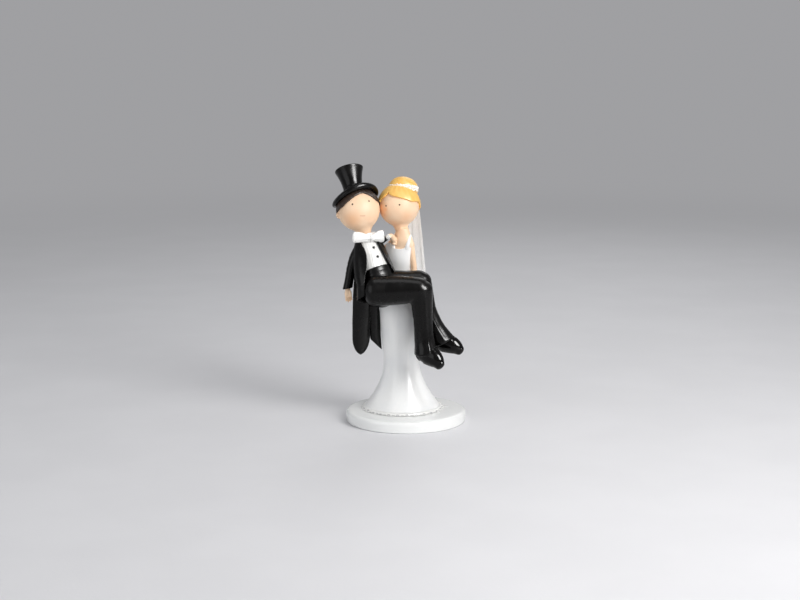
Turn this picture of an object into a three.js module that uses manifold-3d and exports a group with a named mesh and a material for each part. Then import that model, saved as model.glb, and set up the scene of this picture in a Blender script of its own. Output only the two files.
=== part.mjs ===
// Wedding cake topper: a bride in a bell skirt carries a groom in tails, on a round base.
// Cast and painted resin, in keyed castings glued together, with a tulle veil.
// Millimetres, +Z up, +X to the viewer's right, the figures face -Y. Origin under the base.

import * as THREE from "three";
import { mergeVertices } from "three/addons/utils/BufferGeometryUtils.js";
import Module from "manifold-3d";

const wasm = await Module();
wasm.setup();

const degree = Math.PI / 180;
const up = new THREE.Vector3(0, 0, 1);
const backward = new THREE.Vector3(0, 1, 0);
const rightward = new THREE.Vector3(1, 0, 0);

// Clearances
const glueGap = 0.3; // glue and paint between two castings
const overrun = 40; // how far a cutter runs past what it cuts

// Counts and forms of small things
const scallops = 28;
const flowerForm = { flowers: 9, petals: 5, lobeShare: 0.18 };
const veilForm = {
  folds: 3.5, // waves from its middle to each side
  spreadPower: 1.6, // how soon it widens
  curlShare: 1.4, // how far its sides turn forward, as a share of a fold
};

// Base
const base = { radius: 38, height: 7.4, topRound: 2.6, footRound: 1 };

// Bride
const skirt = {
  left: 2.4, // the foot of the skirt stands this far left of the base's centre
  back: 3.6,
  height: 82.6,
  hemRadius: 24.6,
  kneeRadius: 11.2,
  hipRadius: 13.2,
  waistRadius: 7.6,
  foldDepth: 0.8,
  leanLeft: 1.6, // the waist stands this far left of the foot
  leanBack: 1.8,
  pegRadius: 5,
  pegLength: 4,
};
const hemLace = { height: 1.7, reach: 1.2, scallopDepth: 0.6 };
const bodice = {
  height: 24.6,
  waistHalfWidth: 6.9,
  waistHalfDepth: 6.3,
  bustHalfWidth: 7.1,
  bustHalfDepth: 6.4,
  shoulderHalfWidth: 7.5,
  shoulderHalfDepth: 4.6,
  neckHalfWidth: 6.2,
  neckHalfDepth: 4.6,
  throatHeight: 7, // the shoulders slope up this far into the neck
  extraWidth: 1.6, // it stands off her right side this far, behind his lapel
  clothThickness: 1.1,
  leanRight: 1.8,
  leanForward: 1.6,
};
const neckline = { halfWidth: 5.8, drop: 5.4, backDrop: 5, strapWidth: 1.6, armholeHeight: 7.2 };
const brideHead = { radius: 12.6, neckRadius: 3.8, neckLength: 9, above: 20.4, left: 2.2, back: 3 };
const brideHair = {
  thickness: 1,
  lift: 0.5, // it is thicker on the crown, because its own centre lies this far above the head's
  halfWidth: 11.9,
  partingLeft: 3,
  partingHeight: 8.4,
  leftHeight: 1.6, // the locks end this far above the head's centre
  rightHeight: 1.2,
  leftBendShare: 0.86, // how full each lock's edge is, as a share of the outline's width and height
  rightBendShare: 0.6,
};
const bun = { radius: 9.1, halfHeight: 7.4, above: 10.4, back: 5.2, right: 0.8 };
const wreath = { ringRadius: 9, wireRadius: 0.75, flowerRadius: 1.7, flowerThickness: 0.9 };
const veil = {
  length: 82,
  thickness: 0.6,
  topHalfWidth: 4.8,
  bottomHalfWidth: 9.6,
  foldDepth: 0.8,
  behindHair: 1.6,
  drift: 2.9, // the bottom hangs this far right of the top
  swing: 2.2, // and this far behind it
};
const brideArmSize = {
  shoulderRadius: 2,
  elbowRadius: 1.8,
  wristRadius: 1.4,
  inset: 1.4, // the shoulder joint lies this far inside the bodice's width
  left: { upperLength: 15.6, lowerLength: 14.4 },
  right: { upperLength: 9, lowerLength: 9 }, // bent round his back
};
const brideHand = { halfWidth: 2.2, halfDepth: 1.2, length: 4.4 };

// Groom
const seat = { radius: 9.7, left: 11.2, forward: 21.2, belowWaist: 5.4, belowHips: 3.6 };
const torso = {
  length: 31,
  hipHalfWidth: 8.3,
  hipHalfDepth: 6.7,
  chestHalfWidth: 8.2,
  chestHalfDepth: 6.5,
  shoulderHalfWidth: 7.4,
  shoulderHalfDepth: 4.9,
  neckHalfWidth: 4.9,
  neckHalfDepth: 4.4,
};
const cummerbund = { height: 11.2, thickness: 1.4 };
const coat = {
  clothThickness: 1.2,
  extraWidth: 2.6, // it stands off his right side this far
  // Its front edges' distance from the shirt's middle
  right: { neckReach: 8.4, chestReach: 9.8, waistReach: 10.6 },
  left: { neckReach: 4.4, chestReach: 5.8, waistReach: 7.8 },
  cutawayReach: 16, // below the waist the fronts are cut back to this distance
  hemHeight: 2.4, // the body of the coat ends this far above his hips, where the tails carry on
};
const lapel = { width: 2.5, thickness: 0.9 };
const tail = {
  rightLength: 63,
  leftLength: 60.4,
  rightHalfWidth: 5.8,
  leftHalfWidth: 4,
  halfThickness: 1.35,
  rightOffset: 2.6,
  leftOffset: 2.6,
  rightTip: 10.4, // each narrows over this length
  leftTip: 11,
};
const sleeve = { shoulderRadius: 3.4, elbowRadius: 2.8, cuffRadius: 2.6, length: 26.6 };
const groomHand = { halfWidth: 2.5, halfDepth: 1.5, length: 7.2, thumbRadius: 0.8, thumbLength: 3.4 };
const reachArm = {
  sleeveRadius: 1.8,
  sleeveEndRadius: 1.5,
  sleeveLength: 7.6,
  cuffRadius: 1.4,
  cuffLength: 2.6,
  handRadius: 2,
  handLength: 4.6,
};
const groomHead = { radius: 13.1, neckRadius: 4.1, neckLength: 10, above: 19.2 };
const groomHair = {
  thickness: 1,
  lift: 0.3,
  halfWidth: 12.3,
  partingLeft: -3,
  partingHeight: 9.8,
  leftHeight: 2.4,
  rightHeight: 1.2,
  leftBendShare: 0.7,
  rightBendShare: 0.84,
};
const ear = { halfHeight: 1.9, halfWidth: 1.2, halfThickness: 1.5 };
const hat = {
  seatHeight: 10.4, // the brim lies this far from the head's centre
  brimRadius: 14.9,
  brimThickness: 3.6,
  brimDroop: 1.6,
  brimCurl: 3.2, // both sides of the brim curl down this far
  brimTilt: 1.7, // and his right side hangs this much lower than its middle
  left: 0.5, // it sits this far off the middle of his head
  crownHeight: 13.8,
  crownBaseRadius: 6.1,
  crownTopRadius: 9.1,
  crownEdge: 0.9,
  pegRadius: 2.6,
  pegLength: 1.1,
};
const collar = { height: 3.8, thickness: 1.3, flare: 0.7 };
const bow = {
  rightLength: 13,
  leftLength: 8.4,
  rise: 0.7, // the loops climb this far on their way out
  rightHalfHeight: 3.3,
  leftHalfHeight: 3.7,
  drop: 1.5, // its middle lies this far below the collar's foot
  halfThickness: 1.4,
  waistHalfHeight: 1.3,
  knotHalfWidth: 1.6,
  knotHalfHeight: 2.2,
};
const stud = { radius: 0.8, height: 0.7, spacing: 6.6, belowNeck: 7.4 };
const leg = {
  thighLength: 24.2,
  hipHalfWidth: 8.3,
  hipHalfHeight: { right: 9.4, left: 8.3 },
  hipReach: 3, // the thigh begins this far behind the hip
  thighHalfWidth: 7.6,
  thighHalfHeight: { right: 8.9, left: 7.6 },
  kneeRadius: { right: 7.4, left: 6.8 },
  shinLength: { right: 40.6, left: 41 },
  shinRadius: 5.5,
  hemHalfWidth: { right: 6.2, left: 7.2 },
  hemHalfDepth: 5.6,
  apart: 10.6, // between the centre lines of the two thighs
  rise: { right: 1.5, left: 3.8 }, // the thighs lie this much above the middle of the seat
  leftBow: 2.4, // his left shin bends this far
};
const shoe = {
  heelReach: 4.2,
  toeReach: 10.8,
  halfWidth: 4.5,
  halfHeight: 5,
  toeHalfWidth: 3.3,
  toeHalfHeight: 3.6,
  toeDome: 3.2,
  drop: 1.6, // its middle lies this far below the trouser's hem
};

// Angles, in degrees. A heading of 0 is to the viewer's right, -90 is towards the viewer
const torsoHeading = 127; // the groom's back leans this way
const torsoUpAngle = 60;
const chestHeading = -65; // his chest faces this way
const neckHeading = 150;
const neckUpAngle = 73;
const groomFace = { heading: -79, upAngle: 12, roll: 13 };
const hatAxis = { heading: 115, upAngle: 60 };
const brideFace = { heading: -111, upAngle: 3, roll: 3 };
const bunLean = 17;
const bandAngle = 11; // the cummerbund climbs to his left
const napeAngle = 30; // the hair comes down towards the nape at this slope
const jawAngle = -50; // the ball of a head turns into the throat here
const wreathAngles = { startAngle: -165, endAngle: -15 }; // the flowers run round the front of the bun
const squareAngle = 90;
const legWays = {
  right: {
    thigh: { heading: -2, upAngle: 2 },
    shin: { heading: 0, upAngle: -86 },
    foot: { heading: -38, upAngle: -13 },
  },
  left: {
    thigh: { heading: -2, upAngle: 5 },
    shin: { heading: 2, upAngle: -71 },
    foot: { heading: -15, upAngle: -8 },
  },
};
const armWays = {
  brideLeft: { upper: { heading: -20, upAngle: -83 }, lower: { heading: -118, upAngle: -62 } },
  brideRight: { upper: { heading: 172, upAngle: -42 }, lower: { heading: -170, upAngle: -36 } },
  rightSleeve: { heading: -174, upAngle: -75 },
  rightHand: { heading: 0, upAngle: -82 },
  rightThumb: { heading: -40, upAngle: -70 },
  leftSleeve: { heading: -9, upAngle: 37 },
  leftHand: { heading: -15, upAngle: -40 },
};
const tailWays = {
  right: { heading: 150, upAngle: -88 },
  left: { heading: 30, upAngle: -86 },
  across: { heading: 10, upAngle: 0 },
};

// Mesh counts
const baseSides = 32;
const skirtSides = 32;
const roundSides = 20;
const hairSides = 16;
const bodySides = 16;
const limbSides = 12;
const armSides = 10;
const smallSides = 8;
const domeSteps = 8;
const rimSteps = 5;

// A direction from its heading round +Z, where 0 is +X and 90 is +Y, and its upAngle above level
function direction({ heading, upAngle = 0 }) {
  return new THREE.Vector3(
    Math.cos(heading * degree) * Math.cos(upAngle * degree),
    Math.sin(heading * degree) * Math.cos(upAngle * degree),
    Math.sin(upAngle * degree),
  );
}

const point = (x, y, z) => new THREE.Vector3(x, y, z);
const moved = (from, way, distance) => from.clone().addScaledVector(way, distance);
// The sign of a side along a body's own left
const signOf = (name) => (name === "right" ? -1 : 1);
const mix = (a, b, share) => a + (b - a) * share;
const evenShares = (steps) => [...Array(steps + 1).keys()].map((i) => i / steps);

// Six times the volume that a skin of triangles encloses
function sixVolumes(corners, faces) {
  return faces.reduce((sum, [a, b, c]) => {
    const normal = corners[b].clone().cross(corners[c]);
    return sum + corners[a].dot(normal);
  }, 0);
}

// A manifold solid from corner points and triangles, with its faces turned outwards
function solidOf(corners, faces) {
  const outward = sixVolumes(corners, faces) > 0;
  const facing = outward ? faces : faces.map(([a, b, c]) => [a, c, b]);
  return new wasm.Manifold(
    new wasm.Mesh({
      numProp: 3,
      vertProperties: new Float32Array(corners.flatMap((p) => p.toArray())),
      triVerts: new Uint32Array(facing.flat()),
    }),
  );
}

// A manifold solid from a three.js geometry
function solidFrom(geometry) {
  const bare = geometry.clone();
  bare.deleteAttribute("normal");
  bare.deleteAttribute("uv");
  const merged = mergeVertices(bare);
  const places = merged.getAttribute("position");
  const corners = Array.from({ length: places.count }, (_, i) =>
    new THREE.Vector3().fromBufferAttribute(places, i),
  );
  const faces = [];
  for (let i = 0; i < merged.index.count; i += 3) {
    const face = [0, 1, 2].map((k) => merged.index.getX(i + k));
    if (new Set(face).size === 3) faces.push(face);
  }
  return solidOf(corners, faces);
}

// Turns a geometry's +Z onto an axis, its +X near a side, and moves its origin to a place
function placed(geometry, origin, axis, side = rightward) {
  const z = axis.clone().normalize();
  const x = moved(side, z, -side.dot(z)).normalize();
  const y = z.clone().cross(x);
  const frame = new THREE.Matrix4().makeBasis(x, y, z).setPosition(origin);
  return solidFrom(geometry.clone().applyMatrix4(frame));
}

// A solid of revolution round +Z from [radius, height] pairs that start and end on the axis
function revolved(profile, sides = roundSides) {
  const outline = profile.map(([radius, height]) => new THREE.Vector2(radius, height));
  return new THREE.LatheGeometry(outline, sides).rotateX(Math.PI / 2);
}

// A closed skin over rings that have the same number of points, with a fan over each end
function skinned(rings) {
  const sides = rings[0].length;
  const corners = rings.flat();
  const middle = (ring) =>
    ring.reduce((sum, p) => sum.add(p), new THREE.Vector3()).divideScalar(sides);
  const foot = corners.push(middle(rings[0])) - 1;
  const head = corners.push(middle(rings.at(-1))) - 1;
  const top = (rings.length - 1) * sides;
  const faces = [];
  for (let i = 0; i < sides; i++) {
    const next = (i + 1) % sides;
    for (let row = 0; row < top; row += sides) {
      faces.push([row + i, row + next, row + sides + next]);
      faces.push([row + i, row + sides + next, row + sides + i]);
    }
    faces.push([foot, next, i]);
    faces.push([head, top + i, top + next]);
  }
  return solidOf(corners, faces);
}

const domeAngles = [72, 48, 24];

// One ring of points: an ellipse about a centre, with its two half axes
function ring(centre, across, deep, sides) {
  return Array.from({ length: sides }, (_, i) => {
    const angle = (i / sides) * 2 * Math.PI;
    return moved(moved(centre, across, Math.cos(angle)), deep, Math.sin(angle));
  });
}

// The place, tangent and half axes along a limb's smooth curve through { at, wide, deep } stations
function limbFrames(stations, side, grow = 0) {
  const path = new THREE.CatmullRomCurve3(stations.map((s) => s.at));
  const girth = new THREE.CatmullRomCurve3(stations.map((s) => point(s.wide, s.deep, 0)));
  return (share) => {
    const tangent = path.getTangent(share);
    const across = moved(side, tangent, -side.dot(tangent)).normalize();
    const size = girth.getPoint(share);
    return {
      at: path.getPoint(share),
      tangent,
      across: across.clone().multiplyScalar(size.x + grow),
      deep: tangent.clone().cross(across).multiplyScalar(size.y + grow),
    };
  };
}

// A limb: ellipses square to that curve. A dome closes an end with a rounded cap of that length.
// grow swells the whole limb, ends too.
function limb(stations, { side, rows = 8, sides = limbSides, startDome = 0, endDome = 0 }, grow = 0) {
  const frameAt = limbFrames(stations, side, grow);
  const rings = Array.from({ length: rows + 1 }, (_, row) => {
    const f = frameAt(row / rows);
    return ring(f.at, f.across, f.deep, sides);
  });
  const cap = (f, way, length) =>
    domeAngles.map((angle) => {
      const narrow = Math.cos(angle * degree);
      const centre = moved(f.at, f.tangent, way * length * Math.sin(angle * degree));
      const across = f.across.clone().multiplyScalar(narrow);
      return ring(centre, across, f.deep.clone().multiplyScalar(narrow), sides);
    });
  if (startDome) rings.unshift(...cap(frameAt(0), -1, startDome + grow));
  else rings[0] = rings[0].map((p) => moved(p, frameAt(0).tangent, -grow));
  if (endDome) rings.push(...cap(frameAt(1), 1, endDome + grow).reverse());
  else rings.push(rings.pop().map((p) => moved(p, frameAt(1).tangent, grow)));
  return skinned(rings);
}

// A thin closed solid from a grid of points on its front, with its back a step away
function sheet(front, step) {
  const columns = front[0].length;
  const count = front.length * columns;
  const corners = [...front.flat(), ...front.flat().map((p) => p.clone().add(step))];
  const faces = [];
  const quad = (a, b, c, d) => faces.push([a, b, c], [a, c, d]);
  for (let r = 0; r < front.length - 1; r++) {
    for (let c = 0; c < columns - 1; c++) {
      const a = r * columns + c;
      quad(a, a + 1, a + 1 + columns, a + columns);
      quad(count + a, count + a + columns, count + a + 1 + columns, count + a + 1);
    }
  }
  const edge = [];
  for (let c = 0; c < columns - 1; c++) edge.push(c);
  for (let r = 0; r < front.length - 1; r++) edge.push(r * columns + columns - 1);
  for (let c = columns - 1; c > 0; c--) edge.push(count - columns + c);
  for (let r = front.length - 1; r > 0; r--) edge.push(r * columns);
  edge.forEach((a, i) => {
    const b = edge[(i + 1) % edge.length];
    quad(b, a, count + a, count + b);
  });
  return solidOf(corners, faces);
}

// A solid of revolution that stands at a place along an axis
const turned = (profile, origin, axis, sides = roundSides) =>
  placed(revolved(profile, sides), origin, axis, rightward);

function ball(centre, radius, sides = roundSides) {
  const globe = new THREE.SphereGeometry(radius, sides, sides / 2);
  return placed(globe.rotateX(Math.PI / 2), centre, up);
}

function egg(centre, axis, side, halfWidth, halfDepth, halfHeight, sides = 20) {
  const globe = new THREE.SphereGeometry(1, sides, sides / 2).rotateX(Math.PI / 2);
  return placed(globe.scale(halfWidth, halfDepth, halfHeight), centre, axis, side);
}

function rod(from, axis, radius, length, sides = limbSides) {
  const cylinder = new THREE.CylinderGeometry(radius, radius, length, sides);
  return placed(cylinder.rotateX(Math.PI / 2).translate(0, 0, length / 2), from, axis);
}

// A flat outline in a plane, pushed along a way square to it. right and top are its +x and +y.
function pushed(outline, origin, right, way, length) {
  const slab = new THREE.ExtrudeGeometry(outline, { depth: length, bevelEnabled: false, curveSegments: 6 });
  return placed(slab, origin, way, right);
}

// Half of space as a block: what lies past a plane at a distance along its normal
function beyond(origin, normal, distance, reach) {
  const block = new THREE.BoxGeometry(reach, reach, reach).translate(0, 0, reach / 2);
  const side = Math.abs(normal.x) < 0.9 ? rightward : backward;
  return placed(block, moved(origin, normal, distance), normal, side);
}

const joined = (...solids) => solids.reduce((whole, part) => whole.add(part));
const cut = (solid, ...cutters) => cutters.reduce((left, cutter) => left.subtract(cutter), solid);

// The largest body of a solid, without the slivers that a cut leaves
function mainBody(solid) {
  const bodies = solid.decompose();
  return bodies.reduce((a, b) => (b.volume() > a.volume() ? b : a));
}

// Paint and resin finishes
const finish = (color, roughness) => new THREE.MeshStandardMaterial({ color, roughness, metalness: 0 });
const paint = {
  white: finish(0xf2f3f0, 0.3),
  pearl: finish(0xe4e5e3, 0.32),
  black: finish(0x0d0c0b, 0.16),
  skin: finish(0xf5cda6, 0.5),
  blonde: finish(0xf4c367, 0.42),
  brunette: finish(0x2a1b12, 0.45),
  flower: finish(0xfdf4dc, 0.35),
  tulle: finish(0xe6e4ea, 0.8),
};

// Places that the pieces share
const skirtFoot = point(-skirt.left, skirt.back, base.height + glueGap);
const waist = point(skirtFoot.x - skirt.leanLeft, skirtFoot.y + skirt.leanBack, skirtFoot.z + skirt.height);
const brideHeadCentre = point(
  waist.x + bodice.leanRight - brideHead.left,
  waist.y - bodice.leanForward + brideHead.back,
  waist.z + bodice.height + brideHead.above,
);
const seatCentre = point(waist.x - seat.left, waist.y - seat.forward, waist.z - seat.belowWaist);
const torsoAxis = direction({ heading: torsoHeading, upAngle: torsoUpAngle });
const hips = moved(seatCentre, up, seat.belowHips);
const collarSeat = moved(hips, torsoAxis, torso.length);
const groomNeckAxis = direction({ heading: neckHeading, upAngle: neckUpAngle });
const groomHeadCentre = moved(collarSeat, groomNeckAxis, groomHead.above);

// A face's own directions: out of the face, to its left as the viewer sees it, and its crown
function faceFrame({ heading, upAngle, roll }) {
  const out = direction({ heading, upAngle });
  const level = direction({ heading: heading + squareAngle });
  const crown = out.clone().cross(level);
  const tilt = new THREE.Quaternion().setFromAxisAngle(out, roll * degree);
  return { out, right: level.applyQuaternion(tilt), crown: crown.applyQuaternion(tilt) };
}

const groomLook = faceFrame(groomFace);
const brideLook = faceFrame(brideFace);

// Base: a turned disc with a soft top edge, socketed for the skirt's peg
function baseDisc() {
  const { radius, height, topRound, footRound } = base;
  const arc = (centreRadius, centreHeight, size, from, to) =>
    [0, 0.5, 1].map((share) => {
      const angle = mix(from, to, share) * degree;
      return [centreRadius + size * Math.cos(angle), centreHeight + size * Math.sin(angle)];
    });
  const profile = [
    [0, 0],
    ...arc(radius - footRound, footRound, footRound, -90, 0),
    ...arc(radius - topRound, height - topRound, topRound, 0, 90),
    [0, height],
  ];
  return turned(profile, point(0, 0, 0), up, baseSides);
}

// Skirt: radius at each height share, with how much of the folds shows there
const skirtShapeShares = [
  { height: 0, radius: () => skirt.hemRadius, fold: 0.4 },
  { height: 0.035, radius: () => mix(skirt.kneeRadius, skirt.hemRadius, 0.83), fold: 0.7 },
  { height: 0.09, radius: () => mix(skirt.kneeRadius, skirt.hemRadius, 0.6), fold: 1 },
  { height: 0.17, radius: () => mix(skirt.kneeRadius, skirt.hemRadius, 0.32), fold: 0.8 },
  { height: 0.26, radius: () => mix(skirt.kneeRadius, skirt.hemRadius, 0.1), fold: 0.55 },
  { height: 0.36, radius: () => skirt.kneeRadius, fold: 0.35 },
  { height: 0.52, radius: () => mix(skirt.kneeRadius, skirt.hipRadius, 0.5), fold: 0.25 },
  { height: 0.74, radius: () => skirt.hipRadius, fold: 0.2 },
  { height: 0.9, radius: () => mix(skirt.hipRadius, skirt.waistRadius, 0.45), fold: 0.1 },
  { height: 1, radius: () => skirt.waistRadius, fold: 0 },
];

// Folds: how far a fold stands out at an angle, from -1 to 1
const foldWaves = [
  { count: 5, turnAngle: 34, share: 0.6 },
  { count: 8, turnAngle: 120, share: 0.4 },
];
const foldWave = (angle) =>
  foldWaves.reduce(
    (sum, { count, turnAngle, share }) => sum + share * Math.sin(count * angle + turnAngle * degree), 0);

function skirtRing(station, grow, sides) {
  const centre = point(
    mix(skirtFoot.x, waist.x, station.height),
    mix(skirtFoot.y, waist.y, station.height),
    mix(skirtFoot.z, waist.z, station.height),
  );
  return Array.from({ length: sides }, (_, i) => {
    const angle = (i / sides) * 2 * Math.PI;
    const reach = station.radius() + grow + skirt.foldDepth * station.fold * foldWave(angle);
    return moved(centre, point(Math.cos(angle), Math.sin(angle), 0), reach);
  });
}

const skirtPeg = (grow) =>
  rod(moved(skirtFoot, up, skirt.pegLength), up.clone().negate(), skirt.pegRadius + grow,
    2 * skirt.pegLength + grow);

function skirtShape(grow) {
  const rings = skirtShapeShares.map((station) => skirtRing(station, grow, skirtSides));
  rings[0] = rings[0].map((p) => moved(p, up, -grow));
  rings.push(rings.pop().map((p) => moved(p, up, grow)));
  return skinned(rings);
}

// Lace: a low scalloped band round the foot of the skirt, following its folds
function laceBand() {
  const sides = scallops * 2;
  const hem = skirtShapeShares[0];
  const edge = (i) => Math.abs(Math.sin((i / sides) * scallops * Math.PI));
  const rimAt = (lift, reach) =>
    skirtRing(hem, 0, sides).map((p, i) => {
      const outward = point(p.x - skirtFoot.x, p.y - skirtFoot.y, 0).normalize();
      return moved(moved(p, up, lift), outward, reach + hemLace.scallopDepth * edge(i));
    });
  return skinned([rimAt(0, hemLace.reach), rimAt(hemLace.height, hemLace.reach / 3)]);
}

// Bride's body, from the waist to the root of the neck
function brideBodyAt(share) {
  const neckRoot = point(waist.x + bodice.leanRight, waist.y - bodice.leanForward, waist.z + bodice.height);
  return waist.clone().lerp(neckRoot, share);
}

const brideBodyShares = { waist: 0, bust: 0.52, shoulder: 0.84, neck: 1 };
const brideAcross = direction({ heading: brideFace.heading + squareAngle });

// The width and depth of her body at each share of its height, and how much of its extra width shows
function brideBody(grow) {
  const at = (share, wide, deep, full) => ({
    at: moved(brideBodyAt(share), brideAcross, -bodice.extraWidth * full),
    wide: wide + bodice.extraWidth * full,
    deep,
  });
  const { waistHalfWidth, waistHalfDepth, bustHalfWidth, bustHalfDepth } = bodice;
  const stations = [
    at(brideBodyShares.waist, waistHalfWidth, waistHalfDepth, 0),
    at(brideBodyShares.bust / 2, mix(waistHalfWidth, bustHalfWidth, 0.4), waistHalfDepth, 0.5),
    at(brideBodyShares.bust, bustHalfWidth, bustHalfDepth, 1),
    at(brideBodyShares.shoulder, bodice.shoulderHalfWidth, bodice.shoulderHalfDepth, 1),
    at(brideBodyShares.neck, bodice.neckHalfWidth, bodice.neckHalfDepth, 0.4),
  ];
  const options = { side: brideAcross, rows: 6, sides: bodySides, endDome: bodice.throatHeight };
  return limb(stations, options, grow);
}

// Neckline: a round-bottomed opening seen from the front, wide open above the straps
function necklineShape(drop) {
  const { halfWidth } = neckline;
  const shape = new THREE.Shape();
  shape.moveTo(-halfWidth, overrun);
  shape.lineTo(-halfWidth, -drop + halfWidth);
  shape.absarc(0, -drop + halfWidth, halfWidth, Math.PI, 2 * Math.PI, false);
  shape.lineTo(halfWidth, overrun);
  return shape;
}

function bodiceOpenings() {
  const out = brideLook.out.clone().setZ(0).normalize();
  const shoulder = brideBodyAt(brideBodyShares.neck);
  const front = pushed(necklineShape(neckline.drop), shoulder, brideAcross, out.clone(), overrun);
  const backRight = brideAcross.clone().negate();
  const back = pushed(necklineShape(neckline.backDrop), shoulder, backRight, out.clone().negate(), overrun);
  const armholes = [-1, 1].map((way) => {
    const extra = way < 0 ? 2 * bodice.extraWidth : 0;
    const reach = neckline.halfWidth + neckline.strapWidth + extra + overrun / 2;
    const centre = moved(brideBodyAt(brideBodyShares.shoulder), brideAcross, way * reach);
    return placed(new THREE.BoxGeometry(overrun, overrun, neckline.armholeHeight), centre, up, brideAcross);
  });
  return [front, back, ...armholes];
}

const brideChest = (grow) => brideBody(grow - bodice.clothThickness);

// Heads: a ball that narrows into its neck like a light bulb
function headShape({ radius, neckRadius }, neckLength, centre, axis, grow) {
  const jaw = jawAngle * degree;
  const jawPoint = new THREE.Vector2(radius * Math.cos(jaw), radius * Math.sin(jaw));
  const neckTop = new THREE.Vector2(neckRadius, -radius * 1.12);
  const waistPoint = new THREE.Vector2(neckRadius * 1.05, -radius * 0.97);
  const throat = new THREE.QuadraticBezierCurve(neckTop, waistPoint, jawPoint).getPoints(3);
  const arc = evenShares(domeSteps).map((share) => {
    const angle = mix(jaw, Math.PI / 2, share);
    return [Math.max(0, (radius + grow) * Math.cos(angle)), (radius + grow) * Math.sin(angle)];
  });
  arc.at(-1)[0] = 0;
  const foot = -radius - neckLength - grow;
  const profile = [
    [0, foot],
    [neckRadius + grow, foot],
    ...throat.slice(0, -1).map((p) => [p.x + grow, p.y - grow * 0.5]),
    ...arc,
  ];
  return turned(profile, centre, axis);
}

const brideNeckAxis = brideHeadCentre.clone().sub(brideBodyAt(0.9)).normalize();
const brideHeadShape = (grow) =>
  headShape(brideHead, brideHead.neckLength, brideHeadCentre, brideNeckAxis, grow);
const groomHeadShape = (grow) =>
  headShape(groomHead, groomHead.neckLength, groomHeadCentre, groomNeckAxis, grow);

// Hair is a skin over the head, open at the face under two locks that meet at a parting
function hairOpenings(centre, look, hair) {
  const { halfWidth, partingLeft, partingHeight, leftHeight, rightHeight } = hair;
  const bend = (way, share) => [way * halfWidth * share, partingHeight * share];
  const face = new THREE.Shape();
  face.moveTo(-halfWidth, -overrun);
  face.lineTo(-halfWidth, leftHeight);
  face.quadraticCurveTo(...bend(-1, hair.leftBendShare), -partingLeft, partingHeight);
  face.quadraticCurveTo(...bend(1, hair.rightBendShare), halfWidth, rightHeight);
  face.lineTo(halfWidth, -overrun);
  const opening = pushed(face, centre, look.right, look.out, overrun);
  const nape = napeAngle * degree;
  const down = look.crown.clone().negate();
  const below = moved(down.multiplyScalar(Math.cos(nape)), look.out, Math.sin(nape));
  const sideHeight = Math.min(leftHeight, rightHeight);
  const underside = beyond(centre, below, -sideHeight * Math.cos(nape), 2 * overrun);
  return [opening, underside];
}

const hairShape = (head, hair, centre, look, grow) =>
  ball(moved(centre, look.crown, hair.lift), head.radius + hair.thickness + grow, hairSides);
const brideHairShape = (grow) => hairShape(brideHead, brideHair, brideHeadCentre, brideLook, grow);
const groomHairShape = (grow) => hairShape(groomHead, groomHair, groomHeadCentre, groomLook, grow);

// Bun and the band of flowers round its foot
const backHeading = brideFace.heading + 2 * squareAngle;
const backOfHead = direction({ heading: backHeading });
const bunCentre = moved(
  moved(moved(brideHeadCentre, up, bun.above), backOfHead, bun.back),
  brideAcross, bun.right);
const bunAxis = direction({ heading: backHeading, upAngle: squareAngle - bunLean });

function bunShape(grow) {
  const radius = bun.radius + grow;
  return egg(bunCentre, bunAxis, brideAcross, radius, radius, bun.halfHeight + grow, roundSides);
}

// A flower seen from its front: a wavy outline with a lobe for each petal
function flowerOutline() {
  const { petals, lobeShare } = flowerForm;
  const outline = new THREE.Shape();
  for (let k = 0; k < petals * 2; k++) {
    const turn = (k / (petals * 2)) * 2 * Math.PI;
    const reach = wreath.flowerRadius * (1 - lobeShare + lobeShare * Math.cos(petals * turn));
    if (k === 0) outline.moveTo(reach, 0);
    else outline.lineTo(reach * Math.cos(turn), reach * Math.sin(turn));
  }
  return outline;
}

function flowerWreath() {
  const ringRight = brideAcross;
  const ringDeep = bunAxis.clone().cross(ringRight);
  const around = (angle, reach) =>
    moved(moved(bunCentre, ringRight, reach * Math.cos(angle)), ringDeep, reach * Math.sin(angle));
  const wire = new THREE.TorusGeometry(wreath.ringRadius, wreath.wireRadius, 4, 16);
  let whole = placed(wire, bunCentre, bunAxis, ringRight);
  const thickness = wreath.wireRadius + wreath.flowerThickness;
  const { flowers } = flowerForm;
  for (let i = 0; i < flowers; i++) {
    const angle = mix(wreathAngles.startAngle, wreathAngles.endAngle, i / (flowers - 1)) * degree;
    const outward = moved(around(angle, 1), bunCentre, -1);
    const place = around(angle, wreath.ringRadius);
    whole = whole.add(pushed(flowerOutline(), place, bunAxis, outward, thickness));
  }
  return whole;
}

// Veil: a thin sheet that hangs behind her, wider and more folded towards its end
const veilTopShare = 0.55; // it is fixed this far out on the bun

function veilSheet() {
  const { folds, spreadPower, curlShare } = veilForm;
  const fixing = bun.back + bun.radius * veilTopShare;
  const top = moved(moved(brideHeadCentre, up, bun.above), backOfHead, fixing);
  const clear = brideHead.radius + 2 * brideHair.thickness + veil.behindHair - fixing;
  const rows = 8;
  const columns = 14;
  const across = (row, column) => {
    const down = row / rows;
    const side = mix(-1, 1, column / columns);
    const spread = 1 - (1 - down) ** spreadPower;
    const halfWidth = mix(veil.topHalfWidth, veil.bottomHalfWidth, spread);
    const backSet = clear * Math.min(1, down * 6) ** 0.7 + veil.swing * down;
    const fold = veil.foldDepth * Math.min(1, down * 3) * Math.cos(side * folds * Math.PI);
    const curl = -veil.foldDepth * curlShare * side * side;
    const place = moved(moved(top, up, -veil.length * down), backOfHead, backSet + fold + curl);
    return moved(place, brideAcross, side * halfWidth + veil.drift * down);
  };
  const front = Array.from({ length: rows + 1 }, (_, r) =>
    Array.from({ length: columns + 1 }, (_, c) => across(r, c)));
  return sheet(front, moved(point(0, 0, 0), backOfHead, veil.thickness));
}

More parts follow.
